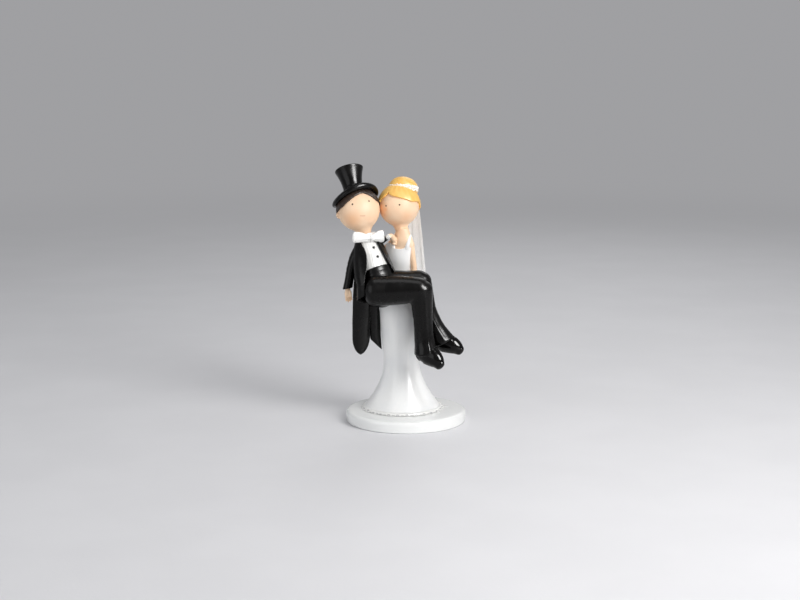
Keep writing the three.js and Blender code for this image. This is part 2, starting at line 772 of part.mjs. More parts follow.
// Arms of the bride: her left goes down behind his knees, her right behind his back
const brideShoulderShares = { right: 0.78, left: 0.84 }; // of the bodice's height

function brideArm(name, ways, grow) {
  const { shoulderRadius, elbowRadius, wristRadius, inset } = brideArmSize;
  const { upperLength, lowerLength } = brideArmSize[name];
  const extra = name === "right" ? 2 * bodice.extraWidth : 0;
  const aside = signOf(name) * (bodice.shoulderHalfWidth - inset + extra);
  const shoulder = moved(brideBodyAt(brideShoulderShares[name]), brideAcross, aside);
  const elbow = moved(shoulder, direction(ways.upper), upperLength);
  const wrist = moved(elbow, direction(ways.lower), lowerLength);
  const tip = moved(wrist, direction(ways.lower), brideHand.length);
  const stations = [
    { at: shoulder, wide: shoulderRadius, deep: shoulderRadius },
    { at: elbow, wide: elbowRadius, deep: elbowRadius },
    { at: wrist, wide: wristRadius, deep: wristRadius },
    { at: tip, wide: brideHand.halfWidth, deep: brideHand.halfDepth },
  ];
  const ends = { startDome: shoulderRadius, endDome: brideHand.halfDepth };
  return limb(stations, { side: backward, rows: 6, sides: armSides, ...ends }, grow);
}

// Groom's body, from the hips to the root of the neck
const torsoShares = { hip: 0, waist: 0.25, chest: 0.6, shoulder: 0.84, neck: 1 };
const torsoAcross = direction({ heading: chestHeading + squareAngle });
const chestOut = torsoAcross.clone().cross(torsoAxis).normalize();
const torsoAt = (share) => moved(hips, torsoAxis, torso.length * share);

// aside moves the middle of the body to his right, and widens it as much
function torsoShape(grow, aside = 0) {
  const at = (share, wide, deep, full) => ({
    at: moved(torsoAt(share), torsoAcross, -aside * full),
    wide: wide + aside * full,
    deep,
  });
  const stations = [
    at(torsoShares.hip, torso.hipHalfWidth, torso.hipHalfDepth, 1),
    at(torsoShares.waist, torso.hipHalfWidth, torso.hipHalfDepth, 1),
    at(torsoShares.chest, torso.chestHalfWidth, torso.chestHalfDepth, 0.8),
    at(torsoShares.shoulder, torso.shoulderHalfWidth, torso.shoulderHalfDepth, 0.3),
    at(torsoShares.neck, torso.neckHalfWidth, torso.neckHalfDepth, 0),
  ];
  const options = { side: torsoAcross, rows: 6, sides: bodySides, startDome: torso.hipHalfDepth / 2 };
  return limb(stations, options, grow);
}

const seatShape = (grow) => ball(seatCentre, seat.radius + grow, bodySides);

// Legs: he sits sideways, so his right leg is the near one
function legPlaces(name) {
  const ways = legWays[name];
  const hip = moved(moved(seatCentre, backward, signOf(name) * leg.apart / 2), up, leg.rise[name]);
  const thighWay = direction(ways.thigh);
  const knee = moved(hip, thighWay, leg.thighLength);
  const hem = moved(knee, direction(ways.shin), leg.shinLength[name]);
  return { hip: moved(hip, thighWay, -leg.hipReach), knee, hem };
}

function legShape(name, grow) {
  const { hip, knee, hem } = legPlaces(name);
  const bow = name === "left" ? leg.leftBow : 0;
  const middle = moved(knee.clone().lerp(hem, 0.5), rightward, -bow);
  const kneeRadius = leg.kneeRadius[name];
  const thigh = limb([
    { at: hip, wide: leg.hipHalfWidth, deep: leg.hipHalfHeight[name] },
    { at: hip.clone().lerp(knee, 0.5), wide: leg.thighHalfWidth, deep: leg.thighHalfHeight[name] },
    { at: knee, wide: kneeRadius, deep: kneeRadius },
  ], { side: backward, rows: 2, startDome: leg.hipHalfWidth / 2 }, grow);
  const shin = limb([
    { at: knee, wide: kneeRadius, deep: kneeRadius },
    { at: middle, wide: leg.shinRadius, deep: leg.shinRadius },
    { at: hem, wide: leg.hemHalfDepth, deep: leg.hemHalfWidth[name] },
  ], { side: backward, rows: 4 }, grow);
  return joined(thigh, ball(knee, kneeRadius + grow, limbSides), shin);
}

// Shoes: a pointed last with a flat sole, its ankle plugged into the trouser
function shoeShape(name, grow) {
  const { hem } = legPlaces(name);
  const way = legWays[name].foot;
  const foot = direction(way);
  const side = direction({ heading: way.heading + squareAngle });
  const ankle = moved(hem, up, -shoe.drop);
  const at = (reach, wide, deep) => ({ at: moved(ankle, foot, reach), wide, deep });
  const stations = [
    at(-shoe.heelReach, shoe.halfWidth * 0.7, shoe.halfHeight * 0.8),
    at(0, shoe.halfWidth * 0.9, shoe.halfHeight),
    at(shoe.toeReach * 0.5, shoe.halfWidth, shoe.halfHeight * 0.88),
    at(shoe.toeReach, shoe.toeHalfWidth, shoe.toeHalfHeight),
  ];
  return limb(stations, { side, rows: 5, startDome: shoe.heelReach / 3, endDome: shoe.toeDome }, grow);
}

// Cummerbund: a band round the foot of the torso
function cummerbundShape(grow) {
  const band = torsoShape(cummerbund.thickness + grow);
  const slope = moved(torsoAxis, torsoAcross, -Math.tan(bandAngle * degree)).normalize();
  const top = beyond(hips, slope, cummerbund.height + grow, 2 * overrun);
  return cut(band, top);
}

// An outline in the torso's own front view, pushed forward from its axis
const torsoFront = (outline) => pushed(outline, hips, torsoAcross, chestOut, overrun);

// Points up one front edge of the coat: across the chest, and along the torso
function coatEdge(side, aside = 0) {
  const { neckReach, chestReach, waistReach } = coat[side];
  const way = side === "right" ? -1 : 1;
  return [
    [waistReach, 0.16],
    [mix(waistReach, chestReach, 0.55), 0.36],
    [chestReach, 0.6],
    [neckReach, 1],
  ].map(([reach, share]) => new THREE.Vector2(way * (reach + aside), torso.length * share));
}

function coatOpening() {
  const tall = (edge) => {
    const foot = new THREE.Vector2(Math.sign(edge[0].x) * coat.cutawayReach, -overrun);
    const hem = new THREE.Vector2(foot.x, 0);
    const top = edge.at(-1).clone().setY(torso.length + overrun);
    return [foot, hem, ...edge, top];
  };
  const outline = [...tall(coatEdge("right")), ...tall(coatEdge("left")).reverse()];
  return torsoFront(new THREE.Shape(outline));
}

const coatShape = (grow) => torsoShape(coat.clothThickness + grow, coat.extraWidth);
const coatHem = beyond(hips, torsoAxis.clone().negate(), -coat.hemHeight, 2 * overrun);

// Lapels: a strip along each edge of the coat's opening, lying on the coat
function lapelStrip(side, grow) {
  const outer = coatEdge(side, lapel.width).slice(1);
  const outline = [...coatEdge(side), ...outer.reverse()];
  const strip = torsoFront(new THREE.Shape(outline));
  return torsoShape(coat.clothThickness + lapel.thickness + grow, coat.extraWidth).intersect(strip);
}

// Coat tails: two long tongues that hang behind the seat
function tailShape(name, grow) {
  const right = name === "right";
  const length = right ? tail.rightLength : tail.leftLength;
  const wide = right ? tail.rightHalfWidth : tail.leftHalfWidth;
  const offset = right ? -tail.rightOffset : tail.leftOffset;
  const back = direction({ heading: chestHeading + 2 * squareAngle });
  const behind = moved(torsoAt(0.62), back, torso.chestHalfDepth + coat.clothThickness);
  const root = moved(behind, torsoAcross, offset);
  const way = direction(tailWays[name]);
  const deep = tail.halfThickness;
  const at = (share, width) => ({ at: moved(root, way, length * share), wide: width, deep });
  const endDome = right ? tail.rightTip : tail.leftTip;
  const narrowing = at(1 - endDome / length, wide * 0.92);
  const stations = [at(0, wide * 0.85), at(0.35, wide), at(0.65, wide), narrowing];
  return limb(stations, { side: direction(tailWays.across), rows: 6, endDome }, grow);
}

// Right sleeve hangs down; its hand is a mitten with a thumb
const rightShoulder = moved(torsoAt(0.86), torsoAcross, -torso.shoulderHalfWidth * 0.96);
const rightCuff = moved(rightShoulder, direction(armWays.rightSleeve), sleeve.length);

function rightSleeveShape(grow) {
  const middle = moved(rightShoulder.clone().lerp(rightCuff, 0.5), rightward, -sleeve.cuffRadius * 0.35);
  const round = (at, radius) => ({ at, wide: radius, deep: radius });
  return limb([
    round(rightShoulder, sleeve.shoulderRadius),
    round(middle, sleeve.elbowRadius),
    round(rightCuff, sleeve.cuffRadius),
  ], { side: backward, rows: 4, startDome: sleeve.shoulderRadius * 0.8 }, grow);
}

function rightHandShape(grow) {
  const way = direction(armWays.rightHand);
  const { length, halfWidth, halfDepth, thumbRadius, thumbLength } = groomHand;
  const wrist = moved(rightCuff, way, -length * 0.3);
  const at = (share, wide, deep) => ({ at: moved(rightCuff, way, length * share), wide, deep });
  const palm = limb([
    { at: wrist, wide: halfDepth, deep: halfDepth },
    at(0.35, halfDepth, halfWidth),
    at(0.75, halfDepth * 0.8, halfWidth * 0.8),
  ], { side: backward, rows: 3, endDome: length * 0.25 }, grow);
  const thumbRoot = moved(moved(rightCuff, way, length * 0.25), rightward, halfWidth * 0.7);
  const thumbTip = moved(thumbRoot, direction(armWays.rightThumb), thumbLength);
  const ends = { startDome: thumbRadius, endDome: thumbRadius };
  const thumb = limb([
    { at: thumbRoot, wide: thumbRadius, deep: thumbRadius },
    { at: thumbTip, wide: thumbRadius, deep: thumbRadius },
  ], { side: backward, rows: 1, sides: smallSides, ...ends }, grow);
  return joined(palm, thumb);
}

// Left arm reaches round her: a short sleeve, a shirt cuff, and a fist on her shoulder
const leftSleeveWay = direction(armWays.leftSleeve);
const leftShoulder = moved(torsoAt(0.88), torsoAcross, torso.shoulderHalfWidth * 0.8);
const leftSleeveEnd = moved(leftShoulder, leftSleeveWay, reachArm.sleeveLength);
const leftCuffEnd = moved(leftSleeveEnd, leftSleeveWay, reachArm.cuffLength);

function leftSleeveShape(grow) {
  const round = (at, radius) => ({ at, wide: radius, deep: radius });
  return limb([
    round(leftShoulder, reachArm.sleeveRadius),
    round(leftSleeveEnd, reachArm.sleeveEndRadius),
  ], { side: up, rows: 2, startDome: reachArm.sleeveRadius * 0.8 }, grow);
}

function leftCuffShape(grow) {
  const from = moved(leftSleeveEnd, leftSleeveWay, glueGap - grow);
  return rod(from, leftSleeveWay, reachArm.cuffRadius + grow, reachArm.cuffLength - glueGap + 2 * grow);
}

function leftHandShape(grow) {
  const way = direction(armWays.leftHand);
  const { handRadius, handLength } = reachArm;
  const at = (share, swellShare) => ({
    at: moved(leftCuffEnd, way, handLength * share),
    wide: handRadius * swellShare,
    deep: handRadius * swellShare,
  });
  const ends = { startDome: handRadius * 0.6, endDome: handRadius * 0.8 };
  return limb([at(0, 0.8), at(0.4, 1), at(0.8, 0.9)], { side: up, rows: 3, ...ends }, grow);
}

// Ear on the side of his head away from her
function earShape(way, grow) {
  const side = moved(groomHeadCentre, groomLook.right, way * groomHead.radius);
  const place = moved(side, groomLook.out, -ear.halfWidth / 2);
  return egg(place, groomLook.crown, groomLook.right, ear.halfThickness + grow, ear.halfWidth + grow,
    ear.halfHeight + grow, smallSides);
}

// Hat: a curled brim on the crown of his head, and a flared crown keyed into it
const hatWay = direction(hatAxis);
const brimCentre = moved(moved(groomHeadCentre, hatWay, hat.seatHeight), rightward, -hat.left);

// Curls the sides of the brim down, his right side more
function curled(geometry) {
  const places = geometry.getAttribute("position");
  for (let i = 0; i < places.count; i++) {
    const beside = places.getX(i) / hat.brimRadius;
    places.setZ(i, places.getZ(i) - hat.brimCurl * beside * beside + hat.brimTilt * beside);
  }
  return geometry;
}

function brimShape(grow) {
  const { brimRadius, brimThickness, brimDroop } = hat;
  const half = brimThickness / 2;
  const edge = evenShares(rimSteps).map((share) => {
    const angle = mix(-squareAngle, squareAngle, share) * degree;
    const out = (half + grow) * Math.cos(angle);
    return [brimRadius - half + out, half - brimDroop + (half + grow) * Math.sin(angle)];
  });
  const inner = brimRadius * 0.62;
  const top = brimThickness + grow;
  const under = [[0, -grow], [inner / 2, -grow], [inner, -grow]];
  const over = [[inner, top], [inner / 2, top], [0, top]];
  const profile = [...under, ...edge, ...over];
  return placed(curled(revolved(profile)), brimCentre, hatWay, torsoAcross);
}

const hatPeg = (grow) =>
  rod(moved(brimCentre, hatWay, hat.brimThickness - hat.pegLength - grow), hatWay, hat.pegRadius + grow,
    hat.pegLength + hat.brimThickness);

function hatCrown(grow) {
  const { crownHeight, crownBaseRadius, crownTopRadius, crownEdge } = hat;
  const waistRadius = mix(crownBaseRadius, crownTopRadius, 0.12);
  const side = new THREE.QuadraticBezierCurve(
    new THREE.Vector2(crownBaseRadius, 0),
    new THREE.Vector2(waistRadius, crownHeight * 0.6),
    new THREE.Vector2(crownTopRadius, crownHeight - crownEdge),
  ).getPoints(5).map((p) => [p.x + grow, p.y]);
  const profile = [
    [0, -grow],
    [crownBaseRadius + grow, -grow],
    ...side,
    [crownTopRadius - crownEdge + grow, crownHeight + grow],
    [0, crownHeight + grow],
  ];
  const seatPlace = moved(brimCentre, hatWay, hat.brimThickness + glueGap);
  return joined(turned(profile, seatPlace, hatWay), hatPeg(grow));
}

// Wing collar round his neck
function collarShape(grow) {
  const inner = groomHead.neckRadius + glueGap;
  const outer = inner + collar.thickness + grow;
  const { height, flare } = collar;
  const foot = -height / 2 - grow;
  const top = height + grow;
  const profile = [[0, foot], [outer, foot], [outer + flare, top], [0, top]];
  return turned(profile, collarSeat, groomNeckAxis);
}

// Bow tie: a knot between two loops that swell towards their round ends
const bowPlace = moved(
  moved(collarSeat, groomNeckAxis, -bow.drop),
  chestOut, groomHead.neckRadius + collar.thickness + collar.flare + bow.halfThickness);

const bowKnotShape = (grow) =>
  egg(bowPlace, groomNeckAxis, torsoAcross, bow.knotHalfWidth + grow, bow.halfThickness + grow,
    bow.knotHalfHeight + grow, 10);

function bowLoopShape(way, grow) {
  const length = way < 0 ? bow.rightLength : bow.leftLength;
  const halfHeight = way < 0 ? bow.rightHalfHeight : bow.leftHalfHeight;
  const out = moved(torsoAcross.clone().multiplyScalar(way), up, bow.rise / bow.leftLength).normalize();
  const deep = bow.halfThickness;
  const at = (share, wide) => ({ at: moved(bowPlace, out, length * share), wide, deep });
  const stations = [at(0.02, bow.waistHalfHeight), at(0.45, halfHeight * 0.85), at(0.8, halfHeight)];
  return limb(stations, { side: up, rows: 4, endDome: length * 0.2 }, grow);
}

// Shirt studs: low domes down the middle of the shirt
function studShape(index, grow) {
  const down = stud.belowNeck + index * stud.spacing;
  const share = 1 - down / torso.length;
  const { chest, shoulder } = torsoShares;
  const deep = share > chest
    ? mix(torso.shoulderHalfDepth, torso.chestHalfDepth, (shoulder - share) / (shoulder - chest))
    : mix(torso.hipHalfDepth, torso.chestHalfDepth, share / chest);
  const place = moved(torsoAt(share), chestOut, deep);
  const radius = stud.radius + grow;
  return egg(place, chestOut, torsoAcross, radius, radius, stud.height + glueGap + grow, smallSides);
}

const topper = new THREE.Group();
const brideGroup = new THREE.Group();
const groomGroup = new THREE.Group();
topper.add(brideGroup, groomGroup);

// Room that the castings so far take up, with the glue gap round them
const taken = [];

const apart = (a, b) =>
  [0, 1, 2].some((k) => a.max[k] < b.min[k] || b.max[k] < a.min[k]);

// Adds a casting as a named mesh whose own origin lies at its anchor. Its shape is a function of
// how far it is swollen. It makes way for the castings before it, and openings are cut out of it.
function addPiece(group, name, material, anchor, shape, openings = []) {
  const whole = cut(shape(0), ...openings);
  const room = whole.boundingBox();
  const near = taken.filter((other) => !apart(other.boundingBox(), room));
  const mesh = mainBody(cut(whole, ...near)).getMesh();
  taken.push(cut(shape(glueGap), ...openings));
  const geometry = new THREE.BufferGeometry();
  geometry.setAttribute("position", new THREE.BufferAttribute(mesh.vertProperties, 3));
  geometry.setIndex(new THREE.BufferAttribute(mesh.triVerts, 1));
  geometry.translate(-anchor.x, -anchor.y, -anchor.z);
  geometry.computeVertexNormals();
  const piece = new THREE.Mesh(geometry, material);
  piece.name = name;
  piece.position.copy(anchor);
  group.add(piece);
}

const addBride = (...piece) => addPiece(brideGroup, ...piece);
const addGroom = (...piece) => addPiece(groomGroup, ...piece);

// Each casting makes way for those above it in this list
addGroom("trouser_seat", paint.black, seatCentre, seatShape);
for (const name of ["right", "left"]) {
  addGroom(`${name}_shoe`, paint.black, legPlaces(name).hem, (grow) => shoeShape(name, grow));
}
for (const name of ["right", "left"]) {
  addGroom(`${name}_trouser_leg`, paint.black, legPlaces(name).knee, (grow) => legShape(name, grow));
}
addBride("skirt", paint.pearl, skirtFoot, (grow) => joined(skirtShape(grow), skirtPeg(grow)));
addPiece(topper, "base_disc", paint.white, point(0, 0, 0), baseDisc);
addBride("skirt_lace_hem", paint.white, skirtFoot, laceBand);

addGroom("groom_head", paint.skin, groomHeadCentre, groomHeadShape);
addGroom("right_ear", paint.skin, groomHeadCentre, (grow) => earShape(-1, grow));
addBride("bride_head", paint.skin, brideHeadCentre, brideHeadShape);
addGroom("hat_crown", paint.black, brimCentre, hatCrown);
addGroom("hat_brim", paint.black, brimCentre, brimShape);
addGroom("groom_hair", paint.brunette, groomHeadCentre, groomHairShape,
  hairOpenings(groomHeadCentre, groomLook, groomHair));
addBride("bride_bun", paint.blonde, bunCentre, bunShape);
addBride("bride_hair", paint.blonde, brideHeadCentre, brideHairShape,
  hairOpenings(brideHeadCentre, brideLook, brideHair));
addBride("flower_wreath", paint.flower, bunCentre, flowerWreath);

addBride("bride_chest", paint.skin, waist, brideChest);
addBride("dress_bodice", paint.white, waist, brideBody, bodiceOpenings());
addGroom("shirt_front", paint.white, hips, torsoShape);
for (const [index, name] of ["upper", "lower"].entries()) {
  addGroom(`${name}_shirt_stud`, paint.black, hips, (grow) => studShape(index, grow));
}
addGroom("cummerbund", paint.black, hips, cummerbundShape);
addGroom("wing_collar", paint.white, collarSeat, collarShape);
addGroom("bow_knot", paint.white, bowPlace, bowKnotShape);
for (const [name, way] of [["right", -1], ["left", 1]]) {
  addGroom(`bow_${name}_loop`, paint.white, bowPlace, (grow) => bowLoopShape(way, grow));
}
addGroom("tailcoat_body", paint.black, hips, coatShape, [coatOpening(), coatHem]);
for (const name of ["right", "left"]) {
  const under = [coatShape(glueGap), coatHem];
  addGroom(`${name}_lapel`, paint.black, hips, (grow) => lapelStrip(name, grow), under);
}
addGroom("right_hand", paint.skin, rightCuff, rightHandShape);
addGroom("right_sleeve", paint.black, rightShoulder, rightSleeveShape);
addGroom("left_hand", paint.skin, leftCuffEnd, leftHandShape);
addGroom("left_shirt_cuff", paint.white, leftSleeveEnd, leftCuffShape);
addGroom("left_sleeve", paint.black, leftShoulder, leftSleeveShape);
for (const name of ["right", "left"]) {
  addGroom(`${name}_coat_tail`, paint.black, hips, (grow) => tailShape(name, grow));
}
addBride("bride_left_arm", paint.skin, waist, (grow) => brideArm("left", armWays.brideLeft, grow));
addBride("bride_right_arm", paint.skin, waist, (grow) => brideArm("right", armWays.brideRight, grow));
addBride("veil", paint.tulle, bunCentre, veilSheet);

export default topper;
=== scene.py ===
import random
from math import acos, atan2, cos, degrees, exp, pi, radians, sin, sqrt, tan

import bmesh
import bpy
from mathutils import Matrix, Quaternion, Vector
from mathutils.bvhtree import BVHTree


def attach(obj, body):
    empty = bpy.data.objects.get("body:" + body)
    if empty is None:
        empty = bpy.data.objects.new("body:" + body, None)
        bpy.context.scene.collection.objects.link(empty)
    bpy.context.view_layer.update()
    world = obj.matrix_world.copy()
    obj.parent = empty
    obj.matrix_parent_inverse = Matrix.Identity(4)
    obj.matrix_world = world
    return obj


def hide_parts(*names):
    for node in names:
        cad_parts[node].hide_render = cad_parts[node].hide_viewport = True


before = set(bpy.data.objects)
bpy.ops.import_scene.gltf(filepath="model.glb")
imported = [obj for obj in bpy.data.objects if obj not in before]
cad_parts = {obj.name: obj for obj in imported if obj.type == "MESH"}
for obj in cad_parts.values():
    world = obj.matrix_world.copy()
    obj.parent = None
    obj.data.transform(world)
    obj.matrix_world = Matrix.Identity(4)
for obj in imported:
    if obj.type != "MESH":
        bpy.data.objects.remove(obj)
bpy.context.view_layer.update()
random.seed(7)
mm = 0.001
print("frame loaded:", len(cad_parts), "nodes")


# Directions and places, in millimetres in the frame of the solids

def direction(heading, rise):  # heading 0 is +X and 90 is +Y, rise is above level
    h, r = radians(heading), radians(rise)
    return Vector((cos(h) * cos(r), sin(h) * cos(r), sin(r)))


def faceFrame(heading, rise, roll):  # out of the face, towards its viewer's right, and its crown
    out = direction(heading, rise)
    level = direction(heading + 90, 0)
    turn = Quaternion(out, radians(roll))
    return {"out": out, "right": turn @ level, "crown": turn @ out.cross(level)}


up = Vector((0, 0, 1))
alongX = Vector((1, 0, 0))
alongY = Vector((0, 1, 0))
brideTrunk = 24.6  # from her waist to the root of her neck
groomTrunk = 31  # from his hips to the seat of his collar
skirtFoot = Vector((-2.4, 3.6, 7.7))
waist = skirtFoot + Vector((-1.6, 1.8, 82.6))
neckRoot = waist + Vector((1.8, -1.6, brideTrunk))
brideHead = neckRoot + Vector((-2.2, 3, 20.4))
brideLook = faceFrame(-111, 3, 3)
brideAcross = direction(-21, 0)
seat = waist + Vector((-11.2, -21.2, -5.4))
torsoAxis = direction(127, 60)
torsoAcross = direction(25, 0)
chestOut = torsoAcross.cross(torsoAxis).normalized()
hips = seat + 3.6 * up
collarSeat = hips + groomTrunk * torsoAxis
neckAxis = direction(150, 73)
groomHead = collarSeat + 19.2 * neckAxis
groomLook = faceFrame(-79, 12, 13)


# Making meshes

def mix(a, b, share):
    return a + (b - a) * share


def clamp(value, low=0, high=1):
    return min(max(value, low), high)


def curve(before, a, b, after, t):  # from a to b, with the points on both sides of them
    return 0.5 * (2 * a + (b - before) * t + (2 * before - 5 * a + 4 * b - after) * t ** 2
                  + (3 * a - before - 3 * b + after) * t ** 3)


def spline(stations, share):  # a smooth curve through rows of numbers or vectors
    last = len(stations) - 1
    place = clamp(share) * last
    i = min(int(place), last - 1)
    a, b = stations[i], stations[i + 1]
    before = stations[i - 1] if i else 2 * a - b
    after = stations[i + 2] if i + 2 <= last else 2 * b - a
    return curve(before, a, b, after, place - i)


def rowAt(rows, share):  # the row that a share falls behind, and how far it is on the way to the next
    at = next(i for i in range(len(rows) - 1) if share <= rows[i + 1][0] or i == len(rows) - 2)
    low, high = rows[at][0], rows[at + 1][0]
    return at, clamp((share - low) / (high - low))


def byShare(rows, share):  # the smooth values at a share, from rows that each start with theirs
    at, local = rowAt(rows, share)
    return spline([Vector(row[1:]) for row in rows], (at + local) / (len(rows) - 1))


def shaped(x, y, z, place=(0, 0, 0)):  # a matrix from three axes and a place
    matrix = Matrix((x, y, z)).transposed().to_4x4()
    matrix.translation = place
    return matrix


def basis(axis, side, place=(0, 0, 0)):  # turns +Z onto an axis and +X near a side
    z = axis.normalized()
    x = (side - z * side.dot(z)).normalized()
    return shaped(x, z.cross(x), z, place)


def ringEdges(bm, centre, across, deep, sides):  # one ellipse of vertices, and its edges
    matrix = shaped(across, deep, across.cross(deep).normalized(), centre)
    made = bmesh.ops.create_circle(bm, segments=sides, radius=1, matrix=matrix)["verts"]
    return list({edge for v in made for edge in v.link_edges})


def skinOver(bm, rings):  # bridges a row of edge loops, and closes both ends
    for one, two in zip(rings, rings[1:]):
        bmesh.ops.bridge_loops(bm, edges=one + two)
    for end in (rings[0], rings[-1]):
        bmesh.ops.contextual_create(bm, geom=end)


def limb(bm, stations, side, rows, sides, domes=(0, 0)):
    # a station is a point with a radius, or with one across and one deep; domes are the heights of the end caps
    path = [Vector(station[0]) for station in stations]
    girth = [Vector((station[1], station[-1])) for station in stations]
    steps = (13, 28, 44, 62, 80)
    rings = []

    def ringsAt(share, height=0, angles=(0,)):  # one ring, or those of a dome past it
        ends = clamp(share - 0.01), clamp(share + 0.01)
        tangent = (spline(path, ends[1]) - spline(path, ends[0])).normalized()
        across = (side - tangent * side.dot(tangent)).normalized()
        size = spline(girth, share)
        deep = tangent.cross(across) * size.y
        for angle in map(radians, angles):
            centre = spline(path, share) + tangent * height * sin(angle)
            rings.append(ringEdges(bm, centre, across * size.x * cos(angle), deep * cos(angle), sides))

    if domes[0]:
        ringsAt(0, -domes[0], steps[::-1])
    for row in range(rows + 1):
        ringsAt(row / rows)
    if domes[1]:
        ringsAt(1, domes[1], steps)
    skinOver(bm, rings)


def turned(profile, place, steps=72):  # spins [radius, height] pairs round +Z, then places them
    bm = bmesh.new()
    made = [bm.verts.new((radius, 0, height)) for radius, height in profile]
    edges = [bm.edges.new(pair) for pair in zip(made, made[1:])]
    bmesh.ops.spin(bm, geom=made + edges, cent=(0, 0, 0), axis=(0, 0, 1), dvec=(0, 0, 0), angle=2 * pi,
                   steps=steps, use_merge=True, use_normal_flip=False, use_duplicate=False)
    bmesh.ops.remove_doubles(bm, verts=bm.verts, dist=0.002)
    bmesh.ops.transform(bm, matrix=place, verts=bm.verts)
    return bm


def rounded(profile, steps=5):  # rounds the corners of a profile of [radius, height, round?] rows
    points = []
    for i, corner in enumerate(profile):
        here = Vector(corner[:2])
        if len(corner) < 3 or i in (0, len(profile) - 1):
            points.append(here)
            continue
        size = corner[2]
        a = here + (Vector(profile[i - 1][:2]) - here).normalized() * size
        b = here + (Vector(profile[i + 1][:2]) - here).normalized() * size
        for k in range(steps + 1):
            t = k / steps
            points.append(a * (1 - t) ** 2 + here * 2 * t * (1 - t) + b * t ** 2)
    return points


def grid(columns, rows, place, bm=None):  # a sheet whose point at shares (u, v) is place(u, v)
    bm = bm or bmesh.new()
    for v in bmesh.ops.create_grid(bm, x_segments=columns, y_segments=rows, size=0.5)["verts"]:
        v.co = place(v.co.x + 0.5, v.co.y + 0.5)
    return bm


def sealed(bm, gap=0.01):  # merges doubles, and closes the open ends
    bmesh.ops.remove_doubles(bm, verts=bm.verts, dist=gap)
    bmesh.ops.holes_fill(bm, edges=[e for e in bm.edges if e.is_boundary], sides=0)
    return bm


def ball(bm, centre, radius, subdivisions=4):
    bmesh.ops.create_icosphere(bm, subdivisions=subdivisions, radius=radius, matrix=Matrix.Translation(centre))


def pebble(bm, x, y, z, place, u=20, v=8):  # a ball with three half axes
    bmesh.ops.create_uvsphere(bm, u_segments=u, v_segments=v, radius=1, matrix=shaped(x, y, z, place))


def fused(bm, voxel, rounds):  # melts overlapping forms into one skin, as one casting
    mesh = bpy.data.meshes.new("draft")
    bmesh.ops.recalc_face_normals(bm, faces=bm.faces)
    bm.to_mesh(mesh)
    bm.free()
    draft = bpy.data.objects.new("draft", mesh)
    bpy.context.scene.collection.objects.link(draft)
    remesh = draft.modifiers.new("remesh", "REMESH")
    remesh.mode = "VOXEL"
    remesh.voxel_size = voxel
    smooth = draft.modifiers.new("smooth", "SMOOTH")
    smooth.iterations = rounds
    graph = bpy.context.evaluated_depsgraph_get()
    melted = bpy.data.meshes.new_from_object(draft.evaluated_get(graph))
    bpy.data.objects.remove(draft)
    bpy.data.meshes.remove(mesh)
    result = bmesh.new()
    result.from_mesh(melted)
    bpy.data.meshes.remove(melted)
    return result


def piece(name, bm, material, replaces=(), outward=True):
    if outward:
        bmesh.ops.recalc_face_normals(bm, faces=bm.faces)
    bmesh.ops.scale(bm, vec=(mm, mm, mm), verts=bm.verts)
    mesh = bpy.data.meshes.new(name)
    bm.to_mesh(mesh)
    bm.free()
    mesh.polygons.foreach_set("use_smooth", [True] * len(mesh.polygons))
    mesh.materials.append(material)
    made = bpy.data.objects.new(name, mesh)
    bpy.context.scene.collection.objects.link(made)
    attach(made, "root")
    if replaces:
        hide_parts(*replaces)
    return made


def modified(made, kind, **settings):
    modifier = made.modifiers.new(kind.lower(), kind)
    for key, value in settings.items():
        setattr(modifier, key, value)
    return made


def softened(made, levels=1):
    return modified(made, "SUBSURF", levels=levels, render_levels=levels)


def walled(made, thickness, offset=-1):
    modified(made, "SOLIDIFY", thickness=thickness * mm, offset=offset)


def eased(made, width, segments=3, angle=50):
    modified(made, "BEVEL", width=width * mm, segments=segments, limit_method="ANGLE",
             angle_limit=radians(angle))


# Materials

class Wire:  # a socket that can be used in sums
    def __init__(self, graph, socket):
        self.graph, self.socket = graph, socket

    def math(self, operation, *values):
        return self.graph.node("ShaderNodeMath", {"operation": operation}, dict(enumerate(values)))

    def __add__(self, other):
        return self.math("ADD", self, other)

    def __sub__(self, other):
        return self.math("SUBTRACT", self, other)

    def __rsub__(self, other):
        return self.math("SUBTRACT", other, self)

    def __mul__(self, other):
        return self.math("MULTIPLY", self, other)

    def __pow__(self, other):
        return self.math("POWER", self, other)

    __radd__ = __add__
    __rmul__ = __mul__

    def wave(self):
        return self.math("SINE", self)

    def size(self):
        return self.math("ABSOLUTE", self)

    def limit(self, low=0, high=1):
        return self.graph.node("ShaderNodeClamp", {}, {0: self, 1: low, 2: high})

    def ramp(self, low, high, to=(0, 1)):  # smooth step from low to high
        return self.graph.node("ShaderNodeMapRange", {"interpolation_type": "SMOOTHSTEP"},
                               {0: self, 1: low, 2: high, 3: to[0], 4: to[1]})


class Graph:  # a node tree, and the one way to add a node to it
    def __init__(self, tree):
        self.tree = tree

    def feed(self, made, key, value):
        if isinstance(value, Wire):
            self.tree.links.new(value.socket, made.inputs[key])
        else:
            made.inputs[key].default_value = value

    def node(self, kind, settings, values, output=0):
        made = self.tree.nodes.new(kind)
        for key, value in settings.items():
            setattr(made, key, value)
        for key, value in values.items():
            self.feed(made, key, value)
        return Wire(self, made.outputs[output])

    def vector(self, operation, *values, output=0):
        return self.node("ShaderNodeVectorMath", {"operation": operation}, dict(enumerate(values)), output)

    def seenRays(self):  # 1 for what is looked at, also in a reflection or through the veil, 0 for its light
        kinds = ("Is Camera Ray", "Is Glossy Ray", "Is Transmission Ray")
        camera, glossy, through = (self.node("ShaderNodeLightPath", {}, {}, kind) for kind in kinds)
        return (camera + glossy + through).limit()


